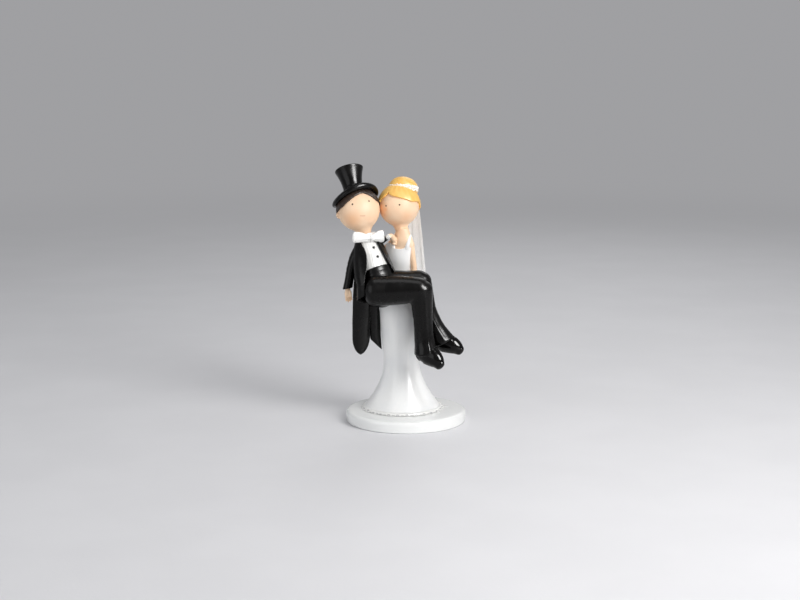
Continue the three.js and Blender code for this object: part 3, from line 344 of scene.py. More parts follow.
class Paint(Graph):  # one material and its nodes
    def __init__(self, name, color, roughness, **constants):
        self.material = bpy.data.materials.new(name)
        self.material.use_nodes = True
        super().__init__(self.material.node_tree)
        self.shader = self.tree.nodes["Principled BSDF"]
        self.color, self.roughness, self.height = color, roughness, None
        for key, value in constants.items():
            self.shader.inputs[key.replace("_", " ")].default_value = value
        self.place = self.node("ShaderNodeTexCoord", {}, {}, "Object")

    def noise(self, scale, detail=2.0, roughness=0.5, at=None):
        values = {"Vector": at or self.place, "Scale": scale, "Detail": detail, "Roughness": roughness}
        return self.node("ShaderNodeTexNoise", {}, values)

    def specks(self, scale, size):  # small round specks, 1 inside them
        cells = self.node("ShaderNodeTexVoronoi", {}, {"Vector": self.place, "Scale": scale})
        return cells.ramp(size, size * 0.6)

    def spot(self, centre, inner, outer):  # 1 near a point, given in millimetres, fading to 0
        away = self.vector("DISTANCE", self.place, tuple(Vector(centre) * mm), output="Value")
        return away.ramp(inner * mm, outer * mm, (1, 0))

    def along(self, way, origin=(0, 0, 0)):  # millimetres along a way from a point
        offset = self.vector("SUBTRACT", self.place, tuple(Vector(origin) * mm))
        return self.vector("DOT_PRODUCT", offset, tuple(Vector(way)), output="Value") * 1000

    def tint(self, color, factor):  # paints a colour over what is there
        values = {0: factor, 6: self.ground(), 7: (*color, 1)}
        self.color = self.node("ShaderNodeMix", {"data_type": "RGBA"}, values, 2)

    def ground(self):
        return self.color if isinstance(self.color, Wire) else (*self.color, 1)

    def done(self, bumpDepth=0.0):  # bump depth in millimetres for a height from 0 to 1
        self.feed(self.shader, "Base Color", self.ground())
        self.feed(self.shader, "Roughness", self.roughness)
        if self.height is not None:
            values = {"Strength": 1.0, "Distance": bumpDepth * mm, "Height": self.height}
            self.feed(self.shader, "Normal", self.node("ShaderNodeBump", {}, values))
        return self.material


def whiteGloss(name, color, roughness, wave=0.16):  # thick white paint over smoothed resin
    paint = Paint(name, color, roughness, Coat_Weight=0.35, Coat_Roughness=0.12)
    cloud = paint.noise(70, 3)
    paint.tint(tuple(c * 0.93 for c in color), cloud.ramp(0.45, 0.75) * 0.5)
    paint.tint((0.62, 0.6, 0.56), paint.specks(900, 0.07) * paint.noise(160).ramp(0.55, 0.7) * 0.35)
    paint.roughness = cloud * 0.16 + (roughness - 0.06)
    paint.height = paint.noise(110, 2) + paint.noise(700, 2) * 0.12
    return paint.done(wave)


def pearlGown(name, color):  # pearly brushed satin, its strokes run down the folds
    paint = Paint(name, color, 0.3, Coat_Weight=0.25, Coat_Roughness=0.2)
    strokes = paint.noise(1, 3, 0.6, paint.vector("MULTIPLY", paint.place, (420, 420, 26)))
    cloud = paint.noise(55, 3)
    paint.tint((0.74, 0.76, 0.79), cloud.ramp(0.42, 0.8) * 0.45)
    paint.tint((0.93, 0.92, 0.9), strokes.ramp(0.5, 0.75) * 0.35)
    paint.roughness = strokes * 0.22 + 0.3
    paint.height = paint.noise(90, 2) + strokes * 0.2
    return paint.done(0.14)


def blackLacquer(name, roughness=0.25, wave=0.3, color=(0.0009, 0.0007, 0.0006)):
    paint = Paint(name, color, roughness, Coat_Weight=0.04, Coat_Roughness=0.1, Specular_IOR_Level=0.19)
    cloud = paint.noise(120, 3)
    paint.tint((0.004, 0.0026, 0.002), cloud.ramp(0.5, 0.85) * 0.5)
    paint.tint((0.12, 0.12, 0.12), paint.specks(700, 0.05) * paint.noise(90).ramp(0.55, 0.7) * 0.4)
    paint.roughness = cloud.ramp(0.3, 0.8, (roughness - 0.03, roughness + 0.1))
    paint.height = paint.noise(95, 1.5) + paint.noise(330, 2) * 0.3
    return paint.done(wave)


skinTone = {
    "color": (0.9, 0.63, 0.425),
    "pale": (0.93, 0.71, 0.52),
    "warm": (0.9, 0.42, 0.17),
    "eye": (0.045, 0.02, 0.012),
    "lip": (0.55, 0.22, 0.12),
}


def skinPaint(name):  # satin flesh paint, airbrushed in soft clouds
    paint = Paint(name, skinTone["color"], 0.46, Coat_Weight=0.04, Coat_Roughness=0.3, Specular_IOR_Level=0.12)
    cloud = paint.noise(75, 3)
    paint.tint(skinTone["pale"], cloud.ramp(0.35, 0.7) * 0.6)
    paint.tint((0.86, 0.5, 0.3), paint.specks(1400, 0.2) * paint.noise(300).ramp(0.5, 0.75) * 0.12)
    paint.roughness = cloud * 0.14 + 0.42
    paint.height = paint.noise(130, 2) + paint.noise(1800, 2) * 0.1
    return paint


def onHead(centre, look, radius, right, crown):  # a point on a ball head, by its place in the face
    out = sqrt(max(radius ** 2 - right ** 2 - crown ** 2, 0))
    return centre + look["right"] * right + look["crown"] * crown + look["out"] * out


# warm spots as right, crown, size, strength: the small spot below her eye on the left is blush; the wide spots
# low on the left of both faces and the spot under her chin are painted shade on the side turned from the light;
# the others warm the lower face
groomFace = {"eyes": [(-5.0, 3.8), (5.6, 3.2)], "eyeSize": 0.6,
             "mouth": (-0.8, -4.7), "mouthHalf": 2.0, "mouthTilt": 0.24,
             "blushAndShade": [(-7.6, -5.5, 8.5, 0.5), (3.8, -7.6, 6.5, 0.2)]}
brideFace = {"eyes": [(-4.1, 0.9), (4.8, 1.4)], "eyeSize": 0.56,
             "blushAndShade": [(-4.4, -1.3, 1.9, 0.55), (-8.8, -1.6, 8, 0.75), (8, -6.6, 7, 0.35), (-1, -11, 7, 0.4)]}
headSize = {"groom": 13.1, "bride": 12.6}


def facePaint(name, centre, look, radius, face):
    paint = skinPaint(name)
    edge = paint.noise(220, 2) * 0.25 + 0.85
    # warm spots of blush, and of painted shade where less light falls
    for right, crown, size, strength in face["blushAndShade"]:
        spot = paint.spot(onHead(centre, look, radius, right, crown), size * 0.1, size)
        paint.tint(skinTone["warm"], spot * edge * strength * 0.8)
    if "mouth" in face:
        middle, half = onHead(centre, look, radius, *face["mouth"]), face["mouthHalf"]
        beside = paint.along(look["right"], middle)
        above = paint.along(look["crown"], middle) + beside * face["mouthTilt"] - beside * beside * 0.03
        line = above.size().ramp(0.12, 0.34, (1, 0)) * beside.size().ramp(half * 0.6, half, (1, 0))
        paint.tint(skinTone["lip"], line * paint.along(look["out"], centre).ramp(0, 2) * 0.55)
    for right, crown in face["eyes"]:
        size = face["eyeSize"]
        dot = paint.spot(onHead(centre, look, radius, right, crown), size * 0.8, size * 1.05)
        paint.tint(skinTone["eye"], dot)
    return paint.done(0.1)


def hairPaint(name, colors, centre, axis, side, strands, depth, ridgeHighlightShare, grooveShadeAndToneShare):
    # strokes of a modelling tool that run out from the crown
    base, light, dark = colors
    paint = Paint(name, base, 0.42, Coat_Weight=0.1, Coat_Roughness=0.3, Specular_IOR_Level=0.3)
    front = axis.cross(side).normalized()
    x, y = paint.along(side.normalized(), centre), paint.along(front, centre)
    turn = y.math("ARCTAN2", y, x)
    sweep = paint.along(axis, centre) * 0.05
    wander = paint.noise(140, 2) * 5
    lines = ((turn + sweep) * strands + wander).wave() * 0.5 + 0.5
    # the raised strokes are lightened as a painted highlight and the grooves between them darkened as painted
    # shade; after that come soft clouds of darker tone
    paint.tint(light, lines.ramp(0.55, 1) * ridgeHighlightShare)
    paint.tint(dark, lines.ramp(0.3, 0) * grooveShadeAndToneShare)
    paint.tint(dark, paint.noise(60, 2).ramp(0.5, 0.8) * grooveShadeAndToneShare * 0.7)
    paint.roughness = lines * 0.16 + 0.34
    paint.height = lines + paint.noise(600, 2) * 0.2
    return paint.done(depth)


def fleckedPaint(name, color, roughness, coat, flecks, grain):  # plain paint with soft flecks of other colours
    paint = Paint(name, color, roughness, Coat_Weight=coat)
    for other, scale, low, high, strength in flecks:
        paint.tint(other, paint.noise(scale, 2).ramp(low, high) * strength)
    paint.height = paint.noise(grain, 2)
    return paint.done(0.08)


whiteGlaze = whiteGloss("whiteGlaze", (0.83, 0.84, 0.83), 0.22)
linen = whiteGloss("whiteLinen", (0.82, 0.82, 0.8), 0.3, 0.12)
gownPaint = pearlGown("gownPaint", (0.84, 0.845, 0.84))
bodicePaint = pearlGown("bodicePaint", (0.86, 0.86, 0.85))
suitLacquer = blackLacquer("suitLacquer")
hatLacquer = blackLacquer("hatLacquer", 0.22, 0.3)
shoeLacquer = blackLacquer("shoeLacquer", 0.12, 0.2)
bareSkin = skinPaint("bareSkin").done(0.1)
groomSkin = facePaint("groomSkin", groomHead, groomLook, headSize["groom"], groomFace)
brideSkin = facePaint("brideSkin", brideHead, brideLook, headSize["bride"], brideFace)
print("materials ready")


# Base, skirt and lace

base = {"radius": 38, "height": 7.4, "topRound": 2.9, "footRound": 1.2}

profile = [(0, 0), (base["radius"] - 0.6, 0, base["footRound"]),
           (base["radius"], base["height"], base["topRound"]), (0, base["height"] + 0.05)]
bm = turned(rounded(profile, 8), Matrix.Identity(4), 128)
piece("cakeBase", bm, whiteGlaze, ["base_disc"])

skirt = {"folds": 1.0, "foldTurn": radians(17), "sides": 144, "levels": 48, "crowding": 1.25}
# share of the height, radius, depth of the folds
skirtRows = [(0, 24.9, 0.35), (0.035, 22.5, 0.65), (0.09, 19.3, 0.95), (0.17, 15.5, 0.85), (0.26, 12.6, 0.6),
             (0.36, 11.2, 0.38), (0.52, 12.2, 0.25), (0.74, 13.2, 0.2), (0.9, 10.7, 0.1), (1, 7.6, 0)]


def foldWave(angle):  # how far a fold stands out, from -1 to 1
    turn = angle + skirt["foldTurn"]
    return 0.6 * sin(5 * turn + 0.6) + 0.4 * sin(8 * turn + 2.1)


def skirtPoint(share, angle, proud=0):
    radius, fold = byShare(skirtRows, share)
    reach = radius + proud + skirt["folds"] * fold * foldWave(angle)
    return skirtFoot.lerp(waist, share) + Vector((cos(angle), sin(angle), 0)) * reach


def skirtRing(bm, share, sides, proud=0):
    edges = ringEdges(bm, Vector(), alongX, alongY, sides)
    for v in {v for edge in edges for v in edge.verts}:
        v.co = skirtPoint(share, atan2(v.co.y, v.co.x), proud)
    return edges


bm = bmesh.new()
levels = skirt["levels"]
skinOver(bm, [skirtRing(bm, (row / levels) ** skirt["crowding"], skirt["sides"]) for row in range(levels + 1)])
softened(piece("bellSkirt", bm, gownPaint, ["skirt"]))

lace = {"scallops": 28, "reach": 2.3, "thickness": 0.5, "bead": 0.28, "ring": 25.6,
        "band": ((0, -0.4), (0, 0.75), (0.014, 0.62), (0.022, -0.4))}
bm = bmesh.new()
step = 2 * pi / lace["scallops"]
for i in range(lace["scallops"]):
    angle = (i + 0.5) * step
    outward = Vector((cos(angle), sin(angle), 0))
    across = up.cross(outward)
    width = (skirtPoint(0, angle + step / 2) - skirtPoint(0, angle - step / 2)).length / 2
    foot = skirtPoint(0, angle) - outward * 0.9 + up * 0.15
    axes = across * width * 0.98, outward * lace["reach"], up * lace["thickness"]
    pebble(bm, *axes, foot)
    for k in range(-2, 3):  # a row of picot beads round each scallop
        spot = shaped(*axes, foot) @ Vector((sin(k * 0.62) * 0.97, cos(k * 0.62) * 0.97, 0))
        ball(bm, spot, lace["bead"], 1)
band = [skirtRing(bm, share, 112, proud) for share, proud in lace["band"]]
for one, two in zip(band, band[1:] + band[:1]):
    bmesh.ops.bridge_loops(bm, edges=one + two)
paint = Paint("laceEyeletShadePaint", (0.84, 0.84, 0.82), 0.34, Coat_Weight=0.2)
x, y = paint.along(alongX, skirtFoot), paint.along(alongY, skirtFoot)
eyeletDentAndShade = (y.math("ARCTAN2", y, x) * (lace["scallops"] / 2)).wave().size().ramp(0.8, 0.97)
ring = ((x ** 2.0 + y ** 2.0) ** 0.5 - lace["ring"]).size().ramp(0.35, 0.75, (1, 0))
# the eyelets are shallow dents, and the grey in them is painted shade
paint.tint((0.4, 0.4, 0.42), eyeletDentAndShade * ring * 0.8)
paint.height = paint.noise(900, 2) - eyeletDentAndShade * ring
piece("laceHem", bm, paint.done(0.15), ["skirt_lace_hem"])
print("base and skirt made")


# Bride

def brideBodyAt(share):
    return waist.lerp(neckRoot, share)


# share of the height, half width, half depth, how far it fills out to the side
bodyRows = [(0, 6.9, 6.3, 0), (0.26, 6.98, 6.3, 0.5), (0.52, 7.1, 6.4, 1), (0.84, 7.5, 4.6, 1),
            (1, 6.2, 4.6, 0.4)]
body = {"fullness": 1.6, "throat": 7, "skin": 0.95}
brideOut = brideAcross.cross(up).normalized()


def bodyPoint(share, angle, grow=0):  # angle 90 faces forward, and a share above 1 is on the throat
    wide, deep, full = byShare(bodyRows, min(share, 1))
    over = clamp((share - 1) * brideTrunk / (body["throat"] + grow), 0, 0.998)
    narrow = sqrt(1 - over ** 2)
    aside = body["fullness"] * full
    turn = radians(angle)
    return (brideBodyAt(share) - brideAcross * aside + brideAcross * cos(turn) * (wide + aside + grow) * narrow
            + brideOut * sin(turn) * (deep + grow) * narrow)


bm = sealed(grid(72, 44, lambda u, v: bodyPoint(mix(0.3, 1.24, v), u * 360, -body["skin"])))
neckAim = (brideHead - brideBodyAt(0.9)).normalized()
throat = [(brideHead - neckAim * down, radius) for down, radius in ((14.6, 3.7), (11.7, 5.2), (9, 8.4))]
limb(bm, [(brideBodyAt(0.9), 3.8), (brideBodyAt(1.08), 3.8), *throat], brideAcross, 18, 32, (1.5, 2))
slope = [(0.72, 6.4, 3.6), (0.85, 8.3, 3.9), (0.93, 7.9, 4.1), (1.01, 6.8, 4.2), (1.1, 5.5, 3.9),
         (1.2, 4.2, 3.6), (1.3, 3.2, 3.2)]  # her shoulders
limb(bm, [(brideBodyAt(share), wide, deep) for share, wide, deep in slope], brideAcross, 30, 48)
ball(bm, brideHead, headSize["bride"])
bm = fused(bm, 0.36, 12)
skinTree = BVHTree.FromBMesh(bm)
piece("brideBody", bm, brideSkin, ["bride_head", "bride_chest"])

# bodice: a shell whose top edge dips in a round neckline, front and back
bodice = {"frontDrop": 5.6, "backDrop": 5, "neckLeft": 6, "neckRight": 7.4, "armTop": 0.69, "wall": 0.9}


def bodiceTop(angle):  # share of the body's height where the cloth ends
    turn = radians(angle)
    wide, deep, full = byShare(bodyRows, 0.86)
    x = cos(turn) * (wide + body["fullness"] * full) - body["fullness"] * full
    half = bodice["neckLeft"] if x > 0 else bodice["neckRight"]
    drop = bodice["frontDrop"] if sin(turn) > 0 else bodice["backDrop"]
    beside = abs(x) / half
    if beside < 1:
        fall = drop * (1 - 0.62 * beside ** 2.4)
    else:  # the armhole, which stays closed on the side behind his lapel
        deep = (1 - bodice["armTop"]) * brideTrunk if x > 0 else drop * 0.38
        fall = mix(drop * 0.38, deep, clamp((beside - 1.16) / 0.14) ** 0.6)
    return 1 - fall / brideTrunk


def bodicePoint(u, v):
    return bodyPoint(v * bodiceTop(u * 360), u * 360, 0.12 - 0.5 * (1 - min(v * 2, 1)) ** 2)


bm = grid(160, 30, bodicePoint)
bmesh.ops.remove_doubles(bm, verts=bm.verts, dist=0.01)
made = piece("satinBodice", bm, bodicePaint, ["dress_bodice"])
walled(made, bodice["wall"])
eased(made, 0.25, 2)

# aside, out, share of the height, half width
strapFront = [Vector(row) for row in ((4.9, 5, 0.74, 2.0), (5.2, 4, 0.86, 1.7), (5.5, 3.2, 0.96, 1.4),
                                      (5.4, 1.6, 1.06, 1.15))]
strapBack = [Vector((aside, -out, share, wide)) for aside, out, share, wide in strapFront[::-1]]
strapRows = [*strapFront, Vector((5.2, 0, 1.12, 1.1)), *strapBack]
bm = bmesh.new()
for way in (-1, 1):  # up the front, over the shoulder and down the back, close to the skin

    def strapPoint(u, v):
        aside, out, share, wide = spline(strapRows, v)
        beside = u * 2 - 1
        aim = brideBodyAt(share) + brideAcross * (way * aside + beside * wide) + brideOut * out
        spot, normal = skinTree.find_nearest(aim)[:2]
        proud = 0.5 + 0.55 * clamp(1 - min(v, 1 - v) / 0.26)
        return spot + normal * (proud * (1 - beside ** 4) - 0.1)

    grid(14, 90, strapPoint, bm)
walled(piece("bodiceStraps", bm, bodicePaint), 0.6)

# radii along the arm, then for each side: share of the height, side, place further aside,
# way and length of the upper arm and of the lower arm, and how the fingers curl
arms = {"shoulder": 2.0, "upper": 1.95, "elbow": 1.8, "lower": 1.65, "wrist": 1.4, "inset": 1.4,
        "fingers": (1.5, 2.2, 2.0, 1.2),
        "left": (0.84, 1, 0, direction(-20, -83), 15.6, direction(-118, -62), 14.4, direction(-118, 10)),
        "right": (0.89, -1, 1.2, direction(177, -44), 10.6, direction(-169, -38), 9.2,
                  direction(-110, -15) * 0.2)}


def brideArm(side):
    share, way, aside, upper, upperLength, lower, lowerLength, curl = arms[side]
    shoulder = brideBodyAt(share) + brideAcross * way * (7.5 - arms["inset"] + aside) - brideOut * aside * 0.6
    elbow = shoulder + upper * upperLength
    wrist = elbow + lower * lowerLength
    bm = bmesh.new()
    limb(bm, [(shoulder, arms["shoulder"]), (shoulder.lerp(elbow, 0.5), arms["upper"]), (elbow, arms["elbow"]),
              (elbow.lerp(wrist, 0.5), arms["lower"]), (wrist, arms["wrist"]), (wrist + lower * 2.2, 1.9, 1.15),
              (wrist + lower * 3.4 + curl * 0.3, 1.6, 1.05)],
         alongY if side == "left" else lower.cross(alongY).normalized(), 26, 20, (2.0, 0.9))
    fingers = (lower * 1.8 + curl).normalized()
    spread = fingers.cross(curl).normalized()
    for k, long in enumerate(arms["fingers"]):
        root = wrist + lower * 3.1 + spread * (k - 1.5) * 0.8
        tip = root + fingers * long + curl * 0.5
        limb(bm, [(root, 0.46), (root + fingers * long * 0.6, 0.44), (tip, 0.36)],
             spread, 4, 10, (0.3, 0.4))
    bm = fused(bm, 0.2, 6)
    piece(f"bride{side.title()}Arm", bm, bareSkin, [f"bride_{side}_arm"])


for side in ("left", "right"):
    brideArm(side)
print("bride's body made")


# Hair

def hairCap(centre, look, radius, skull, pole, edge, thicker, lift):
    # a cap from its pole down to an edge of points in the face's frame, with a lip at the end
    top = (look["crown"] * cos(pole) - look["out"] * sin(pole)).normalized()
    rims = [Vector(point).normalized() for point in edge]
    count = len(rims)
    middle = centre + look["crown"] * thicker
    lip = 0.86

    def place(u, v):
        i, t = int(u * count) % count, u * count % 1
        rim = curve(rims[i - 1], rims[i], rims[(i + 1) % count], rims[(i + 2) % count], t)
        rim = (look["right"] * rim.x + look["crown"] * rim.y + look["out"] * rim.z).normalized()
        down = min(v / lip, 1)
        way = top.slerp(rim, down) if down < 1 else rim
        reach = radius
        if v > lip:  # it turns in towards the head
            turn = (v - lip) / (1 - lip) * pi
            reach = mix(radius, skull, 1 - cos(turn / 2))
            way = (rim + (rim - top).normalized() * 0.03 * sin(turn)).normalized()
        return middle + way * (reach + lift(u, down))

    bm = grid(112, 30, place)
    bmesh.ops.remove_doubles(bm, verts=bm.verts, dist=0.01)
    return bm


def facePoint(right, crown, radius):
    return (right, crown, sqrt(max(radius ** 2 - right ** 2 - crown ** 2, 0)))


def strands(count, height, lean, fade):  # how far they stand out, at shares round and down the cap
    return lambda u, v: height * sin(u * 2 * pi * count + v * lean) * min(v * 3, 1) * (1 - v * fade)


brideTemple = [(-3.0, 8.9), (-1.7, 7.5), (1.3, 6.5), (3.8, 5.9), (7.3, 4.8), (9.7, 3.8), (11.3, 2.8)]
brideEdge = [*[facePoint(*point, 13.3) for point in brideTemple],
             (12.7, 2, 0.2), (12.2, -1.5, -4), (0, -6, -12.8), (-11, -3, -8), (-12.9, 1.2, 0.5),
             *[facePoint(*point, 13.3) for point in ((-9.9, 2.6), (-8.5, 4.4), (-6, 6.3), (-4, 7.8))]]
bm = hairCap(brideHead, brideLook, 13.6, 12.3, 0.35, brideEdge, 0.5, strands(13, 0.07, 5, 0.4))
bunAim = direction(69, 66)
blonde = (0.91, 0.53, 0.135), (0.95, 0.63, 0.22), (0.78, 0.38, 0.075)
brideHair = hairPaint("blondeHair", blonde, brideHead + brideLook["crown"] * 12, bunAim, brideAcross,
                      17, 0.05, 0.16, 0.12)
softened(piece("brideHairCap", bm, brideHair, ["bride_hair"]))

bun = {"radius": 9.4, "half": 7.6, "rise": 10.4, "back": 5.2, "aside": 0.8, "coil": 0.13}
backOfHead = direction(69, 0)
bunCentre = brideHead + up * bun["rise"] + backOfHead * bun["back"] + brideAcross * bun["aside"]
bunAxis = direction(69, 73)
profile = [(bun["radius"] * cos(radians(a)) ** 0.92, bun["half"] * sin(radians(a))) for a in range(-80, 81, 8)]
bm = turned([(0, -bun["half"]), *profile, (0, bun["half"])], Matrix.Identity(4), 96)
for v in bm.verts:  # coils of hair wind round it
    rise = v.co.z / bun["half"]
    v.co += v.co.normalized() * sin(atan2(v.co.y, v.co.x) * 2 + rise * 7) * (1 - rise * rise) * bun["coil"]
bmesh.ops.transform(bm, matrix=basis(bunAxis, brideAcross, bunCentre), verts=bm.verts)
bunColors = (0.91, 0.53, 0.13), (0.95, 0.63, 0.22), (0.76, 0.36, 0.07)
bunPaint = hairPaint("bunHair", bunColors, bunCentre, bunAxis, brideAcross, 7, 0.06, 0.2, 0.16)
softened(piece("brideBun", bm, bunPaint, ["bride_bun"]))

groomBrow = [(3.4, 9.4), (0.5, 9.1), (-3.1, 8.1), (-6, 6.9), (-8.8, 5.4), (-11.3, 3.8)]
groomEdge = [*[facePoint(*point, 13.9) for point in groomBrow],
             (-13.2, 2.2, 1.6), (-13.2, 1.2, -2), (-11, -3, -8), (0, -6.5, -12.6), (11, -4, -8),
             (13.4, 0.6, 0.6),
             *[facePoint(*point, 13.9) for point in ((11.9, 2), (10.2, 3.8), (8.3, 6), (6.2, 7.9))]]
bm = hairCap(groomHead, groomLook, 14.05, 12.8, 0.25, groomEdge, 0.3, strands(17, 0.16, 4, 0.3))
brunette = (0.034, 0.021, 0.015), (0.075, 0.045, 0.03), (0.014, 0.009, 0.007)
groomHair = hairPaint("brunetteHair", brunette, groomHead, groomLook["crown"], torsoAcross, 26, 0.12, 0.2, 0.3)
softened(piece("groomHairCap", bm, groomHair, ["groom_hair"]))
print("hair made")


# Flowers and veil

wreath = {"ring": 9.2, "flowers": 13, "petal": 1.12, "petals": 5, "from": -176, "to": -8,
          "leaf": (1.25, 0.5, 0.2)}
ringDeep = bunAxis.cross(brideAcross).normalized()
petalFlecks = ((0.93, 0.62, 0.5), 420, 0.55, 0.72, 0.5), ((0.95, 0.93, 0.88), 300, 0.5, 0.4, 0.5)
leafFlecks = [((0.32, 0.36, 0.3), 500, 0.45, 0.7, 0.7)]
flowerPaint = fleckedPaint("flowerPaint", (0.9, 0.86, 0.76), 0.4, 0.15, petalFlecks, 1500)
leafPaint = fleckedPaint("leafPaint", (0.16, 0.2, 0.13), 0.45, 0.1, leafFlecks, 1200)


def pod(bm, x, y, z, place):  # a petal or a leaf
    bmesh.ops.create_icosphere(bm, subdivisions=2, radius=1, matrix=shaped(x, y, z, place))


flowers, leaves = bmesh.new(), bmesh.new()
for i in range(wreath["flowers"]):
    angle = radians(mix(wreath["from"], wreath["to"], i / (wreath["flowers"] - 1)))
    outward = brideAcross * cos(angle) + ringDeep * sin(angle)
    tangent = bunAxis.cross(outward).normalized()
    wander = random.uniform(-0.3, 0.3) - 0.45 + 0.6 * cos(angle)
    centre = bunCentre + outward * (wreath["ring"] + 0.3) + bunAxis * wander
    turn = random.uniform(0, 1)
    size = wreath["petal"] * random.uniform(0.9, 1.15)
    for k in range(wreath["petals"]):
        a = (k / wreath["petals"] + turn) * 2 * pi
        way = (tangent * cos(a) + bunAxis * sin(a)).normalized()
        lift = (way * 0.9 + outward * 0.45).normalized()
        side = lift.cross(outward)
        pod(flowers, lift * size, side.normalized() * size * 0.82, lift.cross(side).normalized() * size * 0.34,
            centre + way * size * 0.75)
    ball(flowers, centre + outward * 0.45, size * 0.42, 2)
    for k in range(2 if i < 2 else 0):
        a = random.uniform(0, 2 * pi)
        way = (tangent * cos(a) + bunAxis * sin(a)).normalized()
        long, wide, thick = wreath["leaf"]
        pod(leaves, way * long, way.cross(outward).normalized() * wide, outward * thick,
            centre + way * 1.5 - outward * 0.35)
piece("flowerWreath", flowers, flowerPaint, ["flower_wreath"])
piece("wreathLeaves", leaves, leafPaint)

veil = {"length": 82, "top": 4.8, "bottom": 9.6, "fold": 0.09, "shift": 0.9, "drift": 2.4, "swing": 2.2,
        "fix": 10.205, "clear": 16.2, "columns": 110, "rows": 90, "mesh": 0.75, "meshesAcross": 26}
# it is fixed and hangs clear at these distances behind the middle of her head
veilTop = brideHead + up * bun["rise"] + backOfHead * veil["fix"]


def veilPoint(u, v):
    side = u * 2 - 1
    half = mix(veil["top"], veil["bottom"], 1 - (1 - v) ** 1.6)
    away = (veil["clear"] - veil["fix"]) * min(1, v * 6) ** 0.7 + veil["swing"] * v + 0.3
    away += veil["fold"] * (min(1, 0.25 + v * 3) * cos(side * 3.5 * pi) - 1.4 * side * side)
    away += 0.035 * sin(side * 17 + v * 5) + 0.015 * sin(side * 31 - v * 3)
    down = veil["length"] * v + 0.5 * cos(side * 9) * v ** 6  # the hem is uneven
    beside = side * half + veil["shift"] * min(1, v * 6) + veil["drift"] * v
    return veilTop - up * down + backOfHead * away + brideAcross * beside


columns, rows = veil["columns"], veil["rows"]
bm = grid(columns, rows, veilPoint)
flatWidth = sum(face.calc_area() for face in bm.faces) / veil["length"] * mm
net = Paint("veilNet", (0.97, 0.97, 0.955), 0.8, Sheen_Weight=0.4)
uvMap = net.node("ShaderNodeUVMap", {"uv_map": "netMap"}, {})
across, down = (net.node("ShaderNodeSeparateXYZ", {}, {0: uvMap}, way) for way in ("X", "Y"))
threads = [(slant * pi).wave().size().ramp(0.15, 0.6) for slant in (across + down, across - down)]
edgeMap = net.node("ShaderNodeUVMap", {"uv_map": "edgeMap"}, {})
edge = (net.node("ShaderNodeSeparateXYZ", {}, {0: edgeMap}) - 0.5).size().ramp(0.465, 0.49)
alpha = 0.95 - threads[0] * threads[1] * 0.22 + edge * 0.1 + net.noise(60, 2) * 0.04
net.feed(net.shader, "Alpha", alpha.limit())
net.tint((0.95, 0.95, 0.96), edge * 0.6)
made = piece("tulleVeil", bm, net.done(), ["veil"], outward=False)
for name, wide, high in (("netMap", veil["meshesAcross"], veil["length"] / veil["mesh"]), ("edgeMap", 1, 1)):
    layer = made.data.uv_layers.new(name=name)
    for loop, uv in zip(made.data.loops, layer.data):
        row, column = divmod(loop.vertex_index, columns + 1)
        uv.uv = column / columns * wide, row / rows * high
print("flowers and veil made, flat width", round(flatWidth, 4))


# Groom: head, hat, collar and bow

bm = bmesh.new()
ball(bm, groomHead, headSize["groom"])
throat = [(22, 4.2), (18, 4.0), (14.8, 4.1), (12.2, 5.6), (9.4, 8.8)]
limb(bm, [(groomHead - neckAxis * down, radius) for down, radius in throat], torsoAcross, 18, 32, (0, 2))
piece("groomHead", fused(bm, 0.36, 9), groomSkin, ["groom_head"])

ear = {"half": (1.35, 1.25, 2.0), "scoop": 0.55}
earAt = groomHead - groomLook["right"] * 13.2 - groomLook["out"] * 0.6 - groomLook["crown"] * 0.1
bm = bmesh.new()
axes = [groomLook[way] * half for way, half in zip(("right", "out", "crown"), ear["half"])]
pebble(bm, *axes, earAt, 28, 20)
for v in bm.verts:  # the shell of the ear is scooped in front
    away = v.co - (earAt + groomLook["out"] * 1.15 - groomLook["right"] * 0.5)
    v.co -= groomLook["out"] * ear["scoop"] * exp(-(away.length / 0.8) ** 2)
piece("groomEar", bm, bareSkin, ["right_ear"])

hat = {"seat": 10.4, "brim": 14.9, "thickness": 3.6, "droop": 1.6, "sideDroop": 3.2, "tilt": 1.7,
       "height": 13.9, "base": 6.1, "top": 9.1}
hatWay = direction(115, 60)
hatPlace = basis(hatWay, torsoAcross, groomHead + hatWay * hat["seat"] - alongX * 0.5)
half, droop = hat["thickness"] / 2, hat["droop"]
rim = [(hat["brim"] - half * 1.2 + half * 1.25 * cos(radians(a)), half - droop + half * 1.15 * sin(radians(a)))
       for a in range(-100, 111, 15)]
under = [(r, -droop * clamp((r - 6) / (hat["brim"] - 7)) ** 2) for r in (0, 4, 6, 8, 10, 12)]
over = [(r, hat["thickness"] - 0.1 - (droop - 0.1) * clamp((r - 5.6) / (hat["brim"] - 7)) ** 2.2)
        for r in (12, 10.5, 9, 7.5, 6, 4, 0)]
bm = turned(under + rim + over, Matrix.Identity(4), 96)
for v in bm.verts:  # the brim curls down at both sides, more on his right
    beside = v.co.x / hat["brim"]
    v.co.z -= hat["sideDroop"] * beside ** 2 - hat["tilt"] * beside
bmesh.ops.transform(bm, matrix=hatPlace, verts=bm.verts)
piece("hatBrim", bm, hatLacquer, ["hat_brim"])

foot = hat["thickness"] - 0.3
side = [(mix(hat["base"], hat["top"], s ** 2.1 * 0.9 + s * 0.1), foot + hat["height"] * s)
        for s in (k / 14 for k in range(14))]
lid = [side[-1], (hat["top"] + 0.12, foot + hat["height"] + 0.3, 1.0), (0, foot + hat["height"] + 0.1)]
bm = turned([(0, foot), (hat["base"] + 0.5, foot), *side[1:], *rounded(lid, 6)[1:]], hatPlace, 96)
piece("hatCrown", bm, hatLacquer, ["hat_crown"])

